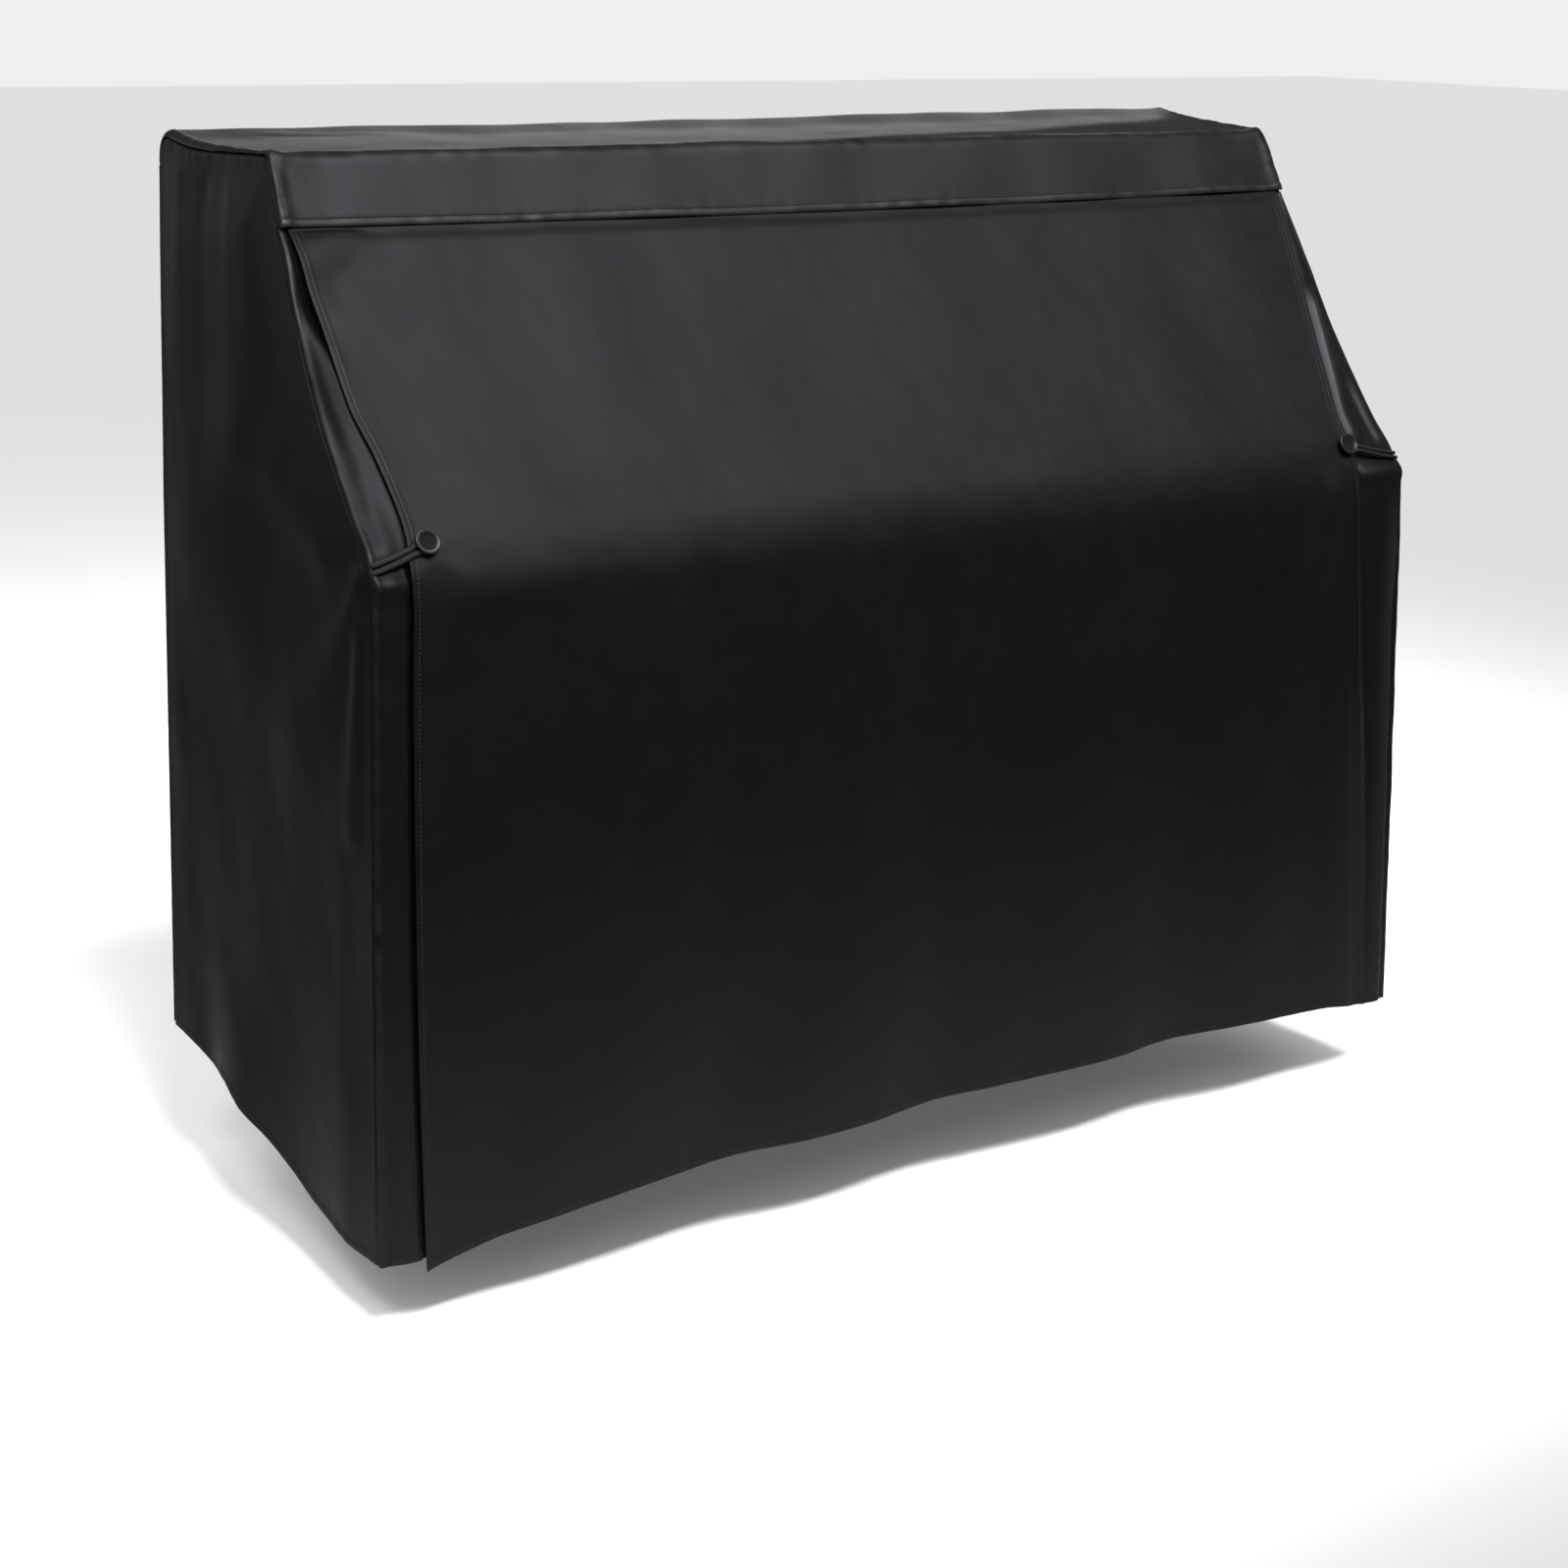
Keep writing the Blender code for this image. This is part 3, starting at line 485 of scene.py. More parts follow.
def edge_y(side, z):
    """Where the outer face of the band or of the return strip turns into the end sheet."""
    band = lerp(BAND_HEM_Y, LID_FRONT_Y, np.clip((z - BAND_HEM_Z) / (CLOTH - BAND_HEM_Z), 0.0, 1.0))
    levels = np.append(EDGE_ROWS[:, 0], STRIP_HEM_Z[side])
    places = np.append(EDGE_ROWS[:, SIDE_COLUMN[side]], STRIP_HEM_Y[side])
    return np.where(z > BAND_HEM_Z, band, through(levels, places, z))


def end_x(side, y, z):
    """Outer face of an end sheet. Its folds die out at the seams."""
    to_seam = np.minimum(np.minimum(y - edge_y(side, z), back_y(z) - y), -z)
    fade = np.clip(to_seam / SEAM_FADE, 0.0, 1.0)
    swell = smooth(to_seam / SWELL_FADE) * fold_height(END_SWELLS[side], y, z)
    flare = table_at(FLARE_ROWS, z, SIDE_COLUMN[side]) * smooth((-0.05 - y) / 0.2)
    if side == "left":
        flare = flare + rear_flare(y, z)
    return SIDES[side] * (half_width(y, z) + flare + swell + fade * fold_height(END_FOLDS[side], y, z))


def flap_edge_x(side, z):
    return table_at(FLAP_ROWS, z, SIDE_COLUMN[side])


def flap_x(z, u):
    """Places across the front sheet at a level, from its left edge at 0 to its right one at 1."""
    return lerp(flap_edge_x("left", z), flap_edge_x("right", z), u)


def front_profile(z):
    """y of the front sheet's outer face at a level, before folds, and its outward direction in Y and Z."""
    z = np.asarray(z, float)
    slope = np.array([ARM_Y - BAND_HEM_Y, ARM_Z - BAND_HEM_Z])
    slope /= np.linalg.norm(slope)
    fall = np.array([FRONT_HEM_Y - ARM_Y, float(table_at(FRONT_HEM, 0.0)) - ARM_Z])
    fall /= np.linalg.norm(fall)
    start = np.array([ARM_Y, ARM_Z]) - ARM_BEND * slope
    end = np.array([ARM_Y, ARM_Z]) + ARM_BEND * fall
    t = (z - BAND_HEM_Z) / (start[1] - BAND_HEM_Z)
    high = lerp(BAND_HEM_Y, start[0], t) + SLOPE_SAG * np.sin(math.pi * np.clip(t, 0.0, 1.0))
    # The bend is a parabola, so its place along it is the root of a quadratic
    a = start[1] - 2 * ARM_Z + end[1]
    b = 2 * (ARM_Z - start[1])
    level = np.clip(z, end[1], start[1])
    s = (-b - np.sqrt(np.maximum(b * b - 4 * a * (start[1] - level), 0.0))) / (2 * a)
    bend = start[0] * (1 - s) ** 2 + 2 * ARM_Y * s * (1 - s) + end[0] * s * s
    low = end[0] + (z - end[1]) * fall[0] / fall[1]
    y = np.where(z >= start[1], high, np.where(z >= end[1], bend, low))
    along = slope + (fall - slope) * np.clip(s, 0.0, 1.0)[..., None]
    along /= np.linalg.norm(along, axis=-1, keepdims=True)
    return y, along[..., 1], -along[..., 0]


def front_point(x, z, lift=0.0):
    """Points of the front sheet's outer face, with its folds, raised by lift."""
    y, out_y, out_z = front_profile(z)
    to_edge = np.minimum(np.minimum(x - flap_edge_x("left", z), flap_edge_x("right", z) - x), BAND_HEM_Z - z)
    fade = np.clip(to_edge / SEAM_FADE, 0.0, 1.0)
    # Between the corners, the folds start softly below the arm line, where the cloth is drawn straight
    fade = fade * (1 - 0.8 * bell(z - ARM_Z, 0.07) * smooth((0.55 - np.abs(x)) / 0.10))
    height = lift + fade * fold_height(FRONT_FOLDS, x, z)
    x = np.broadcast_to(x, np.shape(height))
    return np.stack([x, y + height * out_y, z + height * out_z], axis=-1)


# ---------------------------------------------------------------- cloth

def row_distances(points):
    """Distances of each grid point from the four sides of its grid: left, right, top, bottom."""
    across = np.linalg.norm(np.diff(points, axis=1), axis=2)
    down = np.linalg.norm(np.diff(points, axis=0), axis=2)
    left = np.concatenate([np.zeros((len(points), 1)), np.cumsum(across, axis=1)], axis=1)
    top = np.concatenate([np.zeros((1, points.shape[1])), np.cumsum(down, axis=0)], axis=0)
    return left, left[:, -1:] - left, top, top[-1:] - top


def normals(points):
    n = np.cross(np.gradient(points, axis=0), np.gradient(points, axis=1))
    return n / np.maximum(np.linalg.norm(n, axis=2, keepdims=True), 1e-12)


def hem_height(d, hem):
    """Height of a folded and stitched hem, at a distance from its edge."""
    body = hem["rise"] * (1 - smooth((d - hem["width"]) / hem["step"]))
    return body - GROOVE * bell(d - hem["stitch"], GROOVE_WIDTH)


def hem_roll(d, hem):
    """The same for a hem that bulges between its edge and its stitches."""
    bulge = np.sin(math.pi * np.clip(d / hem["stitch"], 0.0, 1.0)) ** 0.7
    return hem["rise"] * bulge - GROOVE * bell(d - hem["stitch"], GROOVE_WIDTH)


def seam_ridge(d):
    """Height of the seam allowance that lies under a sheet, at a distance from its rounded side edge."""
    return 0.0007 * (1 - smooth((d - 0.0085) / 0.003))


def edge_round(distance, reach=0.0008):
    """Share of a sheet's thickness near a free edge, which is folded and so round."""
    t = np.clip(distance / reach, 0.0, 1.0)
    return np.sqrt(np.clip(1 - (1 - t) ** 2, 0.05, 1.0))


def sheet_thickness(free, folded, hem=HEM, share=1.0):
    """Thickness of a sheet by its distances from its free edges and from its hem's edge, where it is doubled."""
    double = hem["double"] * (1 - smooth((folded - hem["width"]) / hem["inner"])) * smooth(folded / 0.001) * share
    return SHEET * edge_round(free) + double


def turned_in(signed):
    """How far inwards a seam's edge has turned at a place beside the seam. Its allowance has signs below zero."""
    turn = np.clip(1 - signed / TURN, 0.0, 1.0) * math.pi / 2
    return TURN * (1 - np.cos(turn)) + np.clip(-signed, 0.0, None)


def rounded_side(points, sign, out, distance, radius):
    """Turns a sheet's side edge round a corner: the last stretch follows a quarter circle inwards."""
    turn = np.clip(1 - distance / radius, 0.0, 1.0) * math.pi / 2
    slide = np.where(distance < radius, distance - radius + radius * np.sin(turn), 0.0)
    drop = radius * (1 - np.cos(turn))
    points = points - out * drop[..., None]
    points[..., 0] += sign * slide
    return points


def lighter_towards_floor(z, start=LIGHTER_START_Z):
    """How much lighter the cloth is made towards the floor."""
    return FLOOR_LIGHTER_MOST * smooth((start - z) / (start - LIGHTER_END_Z))


def link(name, data, material):
    obj = bpy.data.objects.new(name, data)
    data.materials.append(material)
    bpy.context.scene.collection.objects.link(obj)
    return obj


def grid_mesh(name, outer, thickness, wear_and_highlight, material, dull=None):
    """A closed sheet between a grid of outer points and an inner grid behind it, with its cloth's coordinates."""
    rows, columns = outer.shape[:2]
    count = rows * columns
    inner = outer - normals(outer) * np.broadcast_to(thickness, outer.shape[:2])[..., None]
    left, _, top, _ = row_distances(outer)
    index = np.arange(count).reshape(rows, columns)
    a, b, c, d = index[:-1, :-1], index[1:, :-1], index[1:, 1:], index[:-1, 1:]
    front = np.stack([a, b, c, d], axis=-1).reshape(-1, 4)
    back = front[:, ::-1] + count
    ring = np.concatenate([index[0, :-1], index[:-1, -1], index[-1, :0:-1], index[:0:-1, 0]])
    after = np.roll(ring, -1)
    rim = np.stack([ring, after, after + count, ring + count], axis=-1)
    faces = np.concatenate([front, back, rim])
    points = np.concatenate([outer.reshape(-1, 3), inner.reshape(-1, 3)])
    mesh = bpy.data.meshes.new(name)
    mesh.vertices.add(2 * count)
    mesh.vertices.foreach_set("co", points.astype(np.float32).ravel())
    mesh.loops.add(faces.size)
    mesh.loops.foreach_set("vertex_index", faces.ravel().astype(np.int32))
    mesh.polygons.add(len(faces))
    mesh.polygons.foreach_set("loop_start", np.arange(0, faces.size, 4, dtype=np.int32))
    mesh.update(calc_edges=True)
    mesh.validate()
    mesh.shade_smooth()
    # Sharp edges all round both faces
    on_ring = np.zeros(2 * count, bool)
    on_ring[np.concatenate([ring, ring + count])] = True
    ends = np.empty(2 * len(mesh.edges), np.int32)
    mesh.edges.foreach_get("vertices", ends)
    ends = ends.reshape(-1, 2)
    same_face = (ends[:, 0] < count) == (ends[:, 1] < count)
    mesh.edges.foreach_set("use_edge_sharp", on_ring[ends].all(axis=1) & same_face)
    grain = np.stack([left, -top], axis=-1).reshape(-1, 2)
    grain = np.concatenate([grain, grain])
    loops = np.empty(len(mesh.loops), np.int32)
    mesh.loops.foreach_get("vertex_index", loops)
    mesh.uv_layers.new(name="cloth_grain").uv.foreach_set("vector", grain[loops].astype(np.float32).ravel())

    def on_outer_face(attribute, values):
        values = np.concatenate([values.ravel(), np.zeros(count)]).astype(np.float32)
        mesh.attributes.new(attribute, "FLOAT", "POINT").data.foreach_set("value", values)

    on_outer_face("wear_and_highlight", np.clip(wear_and_highlight, 0.0, 1.0))
    if dull is not None:
        on_outer_face("dull", dull)
    return link(name, mesh, material)


def tube_mesh(name, points, material):
    """A closed tube through rings of points, with flat ends."""
    rings, sides = points.shape[:2]
    index = np.arange(rings * sides).reshape(rings, sides)
    after = np.roll(index, -1, axis=1)
    faces = np.stack([index[:-1], after[:-1], after[1:], index[1:]], axis=-1).reshape(-1, 4).tolist()
    faces.append(index[0, ::-1].tolist())
    faces.append(index[-1].tolist())
    mesh = bpy.data.meshes.new(name)
    mesh.from_pydata(points.reshape(-1, 3).tolist(), [], faces)
    mesh.shade_smooth()
    return link(name, mesh, material)


# ---------------------------------------------------------------- materials

def nodes_of(name):
    material = bpy.data.materials.new(name)
    material.use_nodes = True
    tree = material.node_tree
    return material, tree, tree.nodes["Principled BSDF"]


def node(tree, kind, **values):
    made = tree.nodes.new("ShaderNode" + kind)
    for key, value in values.items():
        if hasattr(made, key):
            setattr(made, key, value)
        else:
            made.inputs[key.replace("_", " ")].default_value = value
    return made


def math_node(tree, operation, a, b=None):
    made = tree.nodes.new("ShaderNodeMath")
    made.operation = operation
    for socket, value in zip(made.inputs, (a, b)):
        if isinstance(value, (int, float)):
            socket.default_value = value
        elif value is not None:
            tree.links.new(value, socket)
    return made.outputs[0]


def maths(tree):
    """Makers of this tree's sums, differences and products."""
    return [partial(math_node, tree, operation) for operation in ("ADD", "SUBTRACT", "MULTIPLY")]


def noise(tree, source, **values):
    made = node(tree, "TexNoise", **values)
    tree.links.new(source, made.inputs["Vector"])
    return made.outputs["Fac"]


def ramp(tree, factor, dark, light, start=0.0, end=1.0):
    made = node(tree, "ValToRGB")
    for element, position, colour in zip(made.color_ramp.elements, (start, end), (dark, light)):
        element.position = position
        element.color = (*colour, 1)
    tree.links.new(factor, made.inputs[0])
    return made.outputs[0]


def bump(tree, height, strength, distance):
    made = node(tree, "Bump", Strength=strength, Distance=distance)
    tree.links.new(height, made.inputs["Height"])
    return made


def cloth_material():
    """Black woven polyester: a plain weave, uneven yarns, soft marks of handling, rubbed edges and painted
    highlights.
    """
    material, tree, shader = nodes_of("black_woven_cloth")
    plus, minus, times = maths(tree)
    grain = node(tree, "UVMap", uv_map="cloth_grain").outputs["UV"]
    split = node(tree, "SeparateXYZ")
    tree.links.new(grain, split.inputs[0])
    warp, weft = (math_node(tree, "SINE", times(split.outputs[i], math.pi / YARN_PITCH)) for i in range(2))
    weave = times(warp, weft)

    place = node(tree, "TexCoord").outputs["Object"]

    def cloud(scale, detail, rough, source=place, stretch=(1, 1, 1)):
        fit = node(tree, "Mapping")
        fit.inputs["Scale"].default_value = stretch
        tree.links.new(source, fit.inputs[0])
        return noise(tree, fit.outputs[0], Scale=scale, Detail=detail, Roughness=rough)

    slub = cloud(900.0, 2.0, 0.6, grain, (0.25, 1.0, 1.0))
    slub_across = cloud(900.0, 2.0, 0.6, grain, (1.0, 0.25, 1.0))
    broad = cloud(5.0, 3.0, 0.55)
    marks = cloud(28.0, 4.0, 0.6)
    dust_and_dish_shade = cloud(160.0, 3.0, 0.7)
    wear_and_highlight = node(tree, "Attribute", attribute_name="wear_and_highlight").outputs["Fac"]
    dull = node(tree, "Attribute", attribute_name="dull").outputs["Fac"]

    tone = plus(times(broad, 0.55), times(marks, 0.45))
    # A lighter colour mixed in where the cloth is worn at its edges and where highlights are painted on folds,
    # ridges and edges
    painted_highlight_and_wear = node(tree, "Mix", data_type="RGBA")
    painted_highlight_and_wear.inputs[7].default_value = (0.0136, 0.0134, 0.0144, 1)
    tree.links.new(times(wear_and_highlight, 0.8), painted_highlight_and_wear.inputs[0])
    unworn = ramp(tree, tone, (0.0036, 0.0036, 0.0041), (0.0050, 0.0049, 0.0053), 0.30, 0.72)
    tree.links.new(unworn, painted_highlight_and_wear.inputs[6])
    tree.links.new(painted_highlight_and_wear.outputs[2], shader.inputs["Base Color"])

    rough = plus(0.41, times(marks, 0.10))
    rough = plus(rough, times(dust_and_dish_shade, 0.06))
    rough = minus(rough, times(wear_and_highlight, 0.08))
    tree.links.new(plus(rough, times(dull, 0.35)), shader.inputs["Roughness"])

    yarns = plus(times(slub, 0.5), times(slub_across, 0.5))
    fine = bump(tree, plus(times(weave, 0.22), times(yarns, 0.55)), 0.35, 0.00022)
    soft = bump(tree, cloud(22.0, 2.0, 0.45), 0.3, 0.0010)
    tree.links.new(soft.outputs[0], fine.inputs["Normal"])
    tree.links.new(fine.outputs[0], shader.inputs["Normal"])
    tree.links.new(plus(0.75, times(dull, 0.25)), shader.inputs["Metallic"])
    tree.links.new(minus(0.5, times(dull, 0.5)), shader.inputs["Specular Tint"])
    shader.inputs["Specular IOR Level"].default_value = 0.03
    shader.inputs["Sheen Weight"].default_value = 0.006
    shader.inputs["Sheen Roughness"].default_value = 0.35
    return material


def thread_material(name, colour, roughness, gloss, twist, depth):
    """Twisted or braided thread: fine slanting ridges with a little unevenness."""
    material, tree, shader = nodes_of(name)
    plus, _, times = maths(tree)
    place = node(tree, "TexCoord").outputs["Object"]
    wave = node(tree, "TexWave", wave_type="BANDS", bands_direction="DIAGONAL", Scale=twist, Distortion=1.5)
    tree.links.new(place, wave.inputs["Vector"])
    cloud = noise(tree, place, Scale=700.0, Detail=3.0)
    tone = ramp(tree, cloud, [c * 0.6 for c in colour], [c * 1.6 for c in colour])
    tree.links.new(tone, shader.inputs["Base Color"])
    tree.links.new(plus(roughness, times(cloud, 0.12)), shader.inputs["Roughness"])
    tree.links.new(bump(tree, wave.outputs["Fac"], 0.5, depth).outputs[0], shader.inputs["Normal"])
    shader.inputs["Specular IOR Level"].default_value = gloss
    return material


def button_material():
    """Moulded black resin with polishing marks, and a painted shade in the dish, which is rougher and reflects
    less.
    """
    material, tree, shader = nodes_of("black_resin")
    plus, minus, times = maths(tree)
    cloud = noise(tree, node(tree, "TexCoord").outputs["Object"], Scale=420.0, Detail=4.0)
    tone = ramp(tree, cloud, (0.0015, 0.0015, 0.0018), (0.0045, 0.0044, 0.0044))
    tree.links.new(tone, shader.inputs["Base Color"])
    dish = node(tree, "Attribute", attribute_name="dish").outputs["Fac"]
    rough = plus(plus(0.20, times(cloud, 0.16)), times(dish, 0.25))
    tree.links.new(rough, shader.inputs["Roughness"])
    # Painted shade in the dish: it reflects less light
    tree.links.new(minus(0.085, times(dish, 0.078)), shader.inputs["Specular IOR Level"])
    tree.links.new(bump(tree, cloud, 0.12, 0.0002).outputs[0], shader.inputs["Normal"])
    return material


CLOTH_LOOK = cloth_material()
THREAD_LOOK = thread_material("black_sewing_thread", (0.0125, 0.0122, 0.0122), 0.42, 0.08, 260.0, 0.0001)
CORD_LOOK = thread_material("black_braided_cord", (0.0032, 0.0031, 0.0034), 0.56, 0.05, 120.0, 0.0002)
BUTTON_LOOK = button_material()

# ---------------------------------------------------------------- lines of stitches

stitch_lines = {}


def line_at(grid, out, distance, at):
    """The line down a grid where distance has this value, as points and outward directions."""
    line, ways = [], []
    for points, ways_here, d in zip(grid, out, distance):
        order = np.argsort(d)
        line.append([np.interp(at, d[order], points[order, k]) for k in range(3)])
        ways.append([np.interp(at, d[order], ways_here[order, k]) for k in range(3)])
    return np.array(line), np.array(ways)


def stitch_side(name, grid, distance, rows):
    """Remembers the stitches of a hem down a sheet's side, over these rows."""
    line, ways = line_at(grid[rows], normals(grid)[rows], distance[rows], HEM["stitch"])
    stitch_lines.setdefault(name, []).append((line, ways))


def stitch_bottom(name, grid, bottom, side, clear, hem=HEM):
    """Remembers the stitches of a sheet's bottom hem, which stay this far from its side edges."""
    across = normals(grid).transpose(1, 0, 2)
    line, ways = line_at(grid.transpose(1, 0, 2), across, bottom.T, hem["stitch"])
    inside = side[-1] > clear
    stitch_lines.setdefault(name, []).append((line[inside], ways[inside]))


# ---------------------------------------------------------------- lid and band

def dense_profile():
    """The lid's and band's outer face in Y and Z, from the back seam to the band's hem, and the way along it."""
    top = CLOTH + LID_BACK_RISE - LID_BACK_BEND
    points = [(LID_BACK_Y, z) for z in np.linspace(top - LID_BACK_DROP, top, 12, endpoint=False)]
    for a in np.radians(np.linspace(0, LID_BACK_TURN, 24)):
        points.append((LID_BACK_Y - LID_BACK_BEND + LID_BACK_BEND * math.cos(a), top + LID_BACK_BEND * math.sin(a)))
    slant = math.degrees(BAND_SLANT)
    front_y = LID_FRONT_Y + LID_FRONT_BEND * math.tan(math.radians((90 - slant) / 2))
    roll_y, roll_z = points[-1]
    step = roll_z - float(lid_height(roll_y))
    for y in np.linspace(roll_y, front_y, 80)[1:-1]:
        points.append((y, float(lid_height(y) + step * (1 - smooth((roll_y - y) / ROLL_FADE)))))
    for a in np.radians(np.linspace(90, 180 - slant, 16)):
        points.append((front_y + LID_FRONT_BEND * math.cos(a), CLOTH + LID_FRONT_BEND * (math.sin(a) - 1)))
    start = points[-1]
    for t in np.linspace(0, 1, 40)[1:]:
        points.append((lerp(start[0], BAND_HEM_Y, t), lerp(start[1], BAND_HEM_Z, t)))
    points = np.array(points)
    runs = np.linalg.norm(np.diff(points, axis=0), axis=1)
    return points, np.concatenate([[0], np.cumsum(runs)])


def lid_base():
    """The lid's and band's outer face before its relief, with the way to each row and to the band's start."""
    profile, run = dense_profile()
    places = spread(run[-1], LID_GRID, BAND_GRID, 0.0032)
    y, z = np.interp(places, run, profile[:, 0]), np.interp(places, run, profile[:, 1])
    band_start = run[-1] - BAND_LENGTH
    half = half_width(y, np.minimum(z, 0.0))
    width = 2 * HALF_LID_FRONT
    u = spread(width, CORNER_GRID, CORNER_GRID, 0.0075) / width * 2 - 1
    base = np.stack(np.broadcast_arrays(half[:, None] * u, y[:, None], z[:, None]), axis=-1)
    base[..., 0] -= rear_flare(y, np.minimum(z, 0.0))[:, None] * smooth((-u - 0.8) / 0.2)
    # The band's lower half sags between the corners
    low = np.clip(((places - band_start) / (run[-1] - band_start) - 0.5) * 2, 0.0, 1.0)
    sag = BAND_SAG * (1 - (base[..., 0] / HALF_LID_FRONT) ** 2) * low[:, None]
    base[..., 1] -= sag * math.sin(BAND_SLANT)
    base[..., 2] -= sag * math.cos(BAND_SLANT)
    flat_share = np.clip(normals(base)[..., 2], 0.0, 1.0) * smooth((band_start - places) / 0.02)[:, None]
    base[..., 2] += lid_raise(base[..., 0], base[..., 1]) * flat_share
    return base, places, band_start


def lid_dullness(x, way, on_band):
    """The coating is duller towards the front, most of all at the right."""
    reach = 0.14 + 0.62 * (x - 0.12) + 0.15 * smooth((x - 0.66) / 0.07)
    return (1 - on_band) * (0.15 * smooth((0.7 - way) / 0.5) + 0.42 * smooth((reach + 0.08 - way) / 0.16))


def make_lid():
    base, places, band_start = lid_base()
    out = normals(base)
    left, right, top, bottom = row_distances(base)
    side = np.minimum(left, right)
    x = base[..., 0]
    on_band = smooth((top - (band_start - 0.006)) / 0.012)
    lie = np.clip((side - 0.010) / 0.05, 0.0, 1.0)
    height = hem_roll(bottom, BAND_HEM) * smooth(bottom / 0.0006)
    # The corner seam's allowance lies under the band's side edges, as a bulky ridge
    bulk = 0.0125 + 0.0015 * waves(top, top * 0, 16, 0.03)
    height += on_band * 0.0017 * (1 - smooth((side - bulk + 0.0015) / 0.0060))
    height += (1 - on_band) * seam_ridge(side)
    height += 0.0026 * bell(np.hypot(side - 0.007, top - band_start), 0.0080)
    height += (0.0005 + 0.0004 * on_band) * puckers(top, 17, 0.055, side, 0.0, 0.012)
    height += on_band * 0.0012 * lie * waves(x, top, 11, 0.16)
    height += (1 - on_band) * 0.0010 * lie * waves(x, top, 12, 0.22)
    height += fold_height(LID_CREASES, x, band_start - top) * lie * (1 - on_band)
    # Pull lines fan out from the band's corners
    for sign in SIDES.values():
        for rise, reach in ((0.21, 0.055), (0.54, 0.045), (1.14, 0.035)):
            across = x * sign + HALF_LID_FRONT
            along = np.clip(across / reach, 0, 1)
            line = bell(top - band_start - across * rise, 0.004 + 0.006 * along)
            height += 0.0007 * on_band * np.sin(math.pi * along) * line
    height += 0.00028 * puckers(x, 13, 0.016, bottom, 0.011, 0.010)
    height += 0.00028 * puckers(top, 14, 0.014, side, 0.008, 0.010)
    base = base + out * height[..., None]
    radius = ROUND + np.where(x < 0, shoulder("left", places)[:, None], shoulder("right", places)[:, None])
    base = rounded_side(base, np.sign(x), out, side, radius)
    thick = sheet_thickness(np.minimum(bottom, top), bottom, BAND_HEM)
    wear_and_highlight = 0.8 * bell(side - 0.002, 0.0025) + 0.5 * bell(bottom - 0.004, 0.005)
    wear_and_highlight = patchy(wear_and_highlight + 0.9 * bell(top - band_start, 0.010), x, top, 15, 0.6, 0.4) + 0.11 * on_band
    # Painted highlight along the lid's left edge
    wear_and_highlight = wear_and_highlight + 0.9 * bell(left - 0.006, 0.006) * (1 - on_band)
    dull = lid_dullness(x, (band_start - top) / band_start, on_band)
    piece = grid_mesh("lid_and_band", base, thick, wear_and_highlight, CLOTH_LOOK, dull)
    stitch_bottom("lid", base, bottom, side, 0.012, BAND_HEM)
    return piece


# ---------------------------------------------------------------- front sheet

def front_base():
    """The front sheet's outer face before its creases: under the band, down the slope, then down to the hem."""
    width = 1.44
    u = spread(width, EDGE_GRID, EDGE_GRID, 0.0068) / width
    tuck_out = np.array([BAND_HEM_Y - LID_FRONT_Y, BAND_HEM_Z - CLOTH])
    tuck_out /= np.linalg.norm(tuck_out)
    top_x = lerp(FLAP_ROWS[0, 1], FLAP_ROWS[0, 2], u)
    sag = BAND_SAG * (1 - (top_x / HALF_LID_FRONT) ** 2)

    def under(back):
        """A row that lies this far behind the band's hem."""
        down = sag - back
        y = BAND_HEM_Y + down * tuck_out[0] - SEAT * tuck_out[1]
        return np.stack([top_x, y, BAND_HEM_Z + down * tuck_out[1] + SEAT * tuck_out[0]], axis=-1)

    rows = [under(back) for back in (TUCK_DEPTH, 0.012, 0.008, 0.004, 0.0015)]
    # Below the band, the rows ease from its plane to the slope
    ease = 0.0175
    for down in np.linspace(0.0, ease, 9)[:-1]:
        plane = under(-down)
        level = plane[:, 2]
        rows.append(lerp(plane, front_point(flap_x(level, u), level), smooth(down / ease)))
    first_z = rows[-1][:, 2].min() - 0.0022
    for z in np.linspace(first_z, FALL_START_Z, round((first_z - FALL_START_Z) / 0.0062) + 1):
        x = flap_x(z, u)
        rows.append(front_point(x, np.full_like(x, z)))
    mean_hem = -1.16
    drop = FALL_START_Z - mean_hem
    for down in spread(drop, (0.0, 0.006), EDGE_GRID, 0.0072)[1:]:
        z = lerp(FALL_START_Z, table_at(FRONT_HEM, flap_x(FALL_START_Z, u)), down / drop)
        rows.append(front_point(flap_x(z, u), z))
    return np.array(rows)


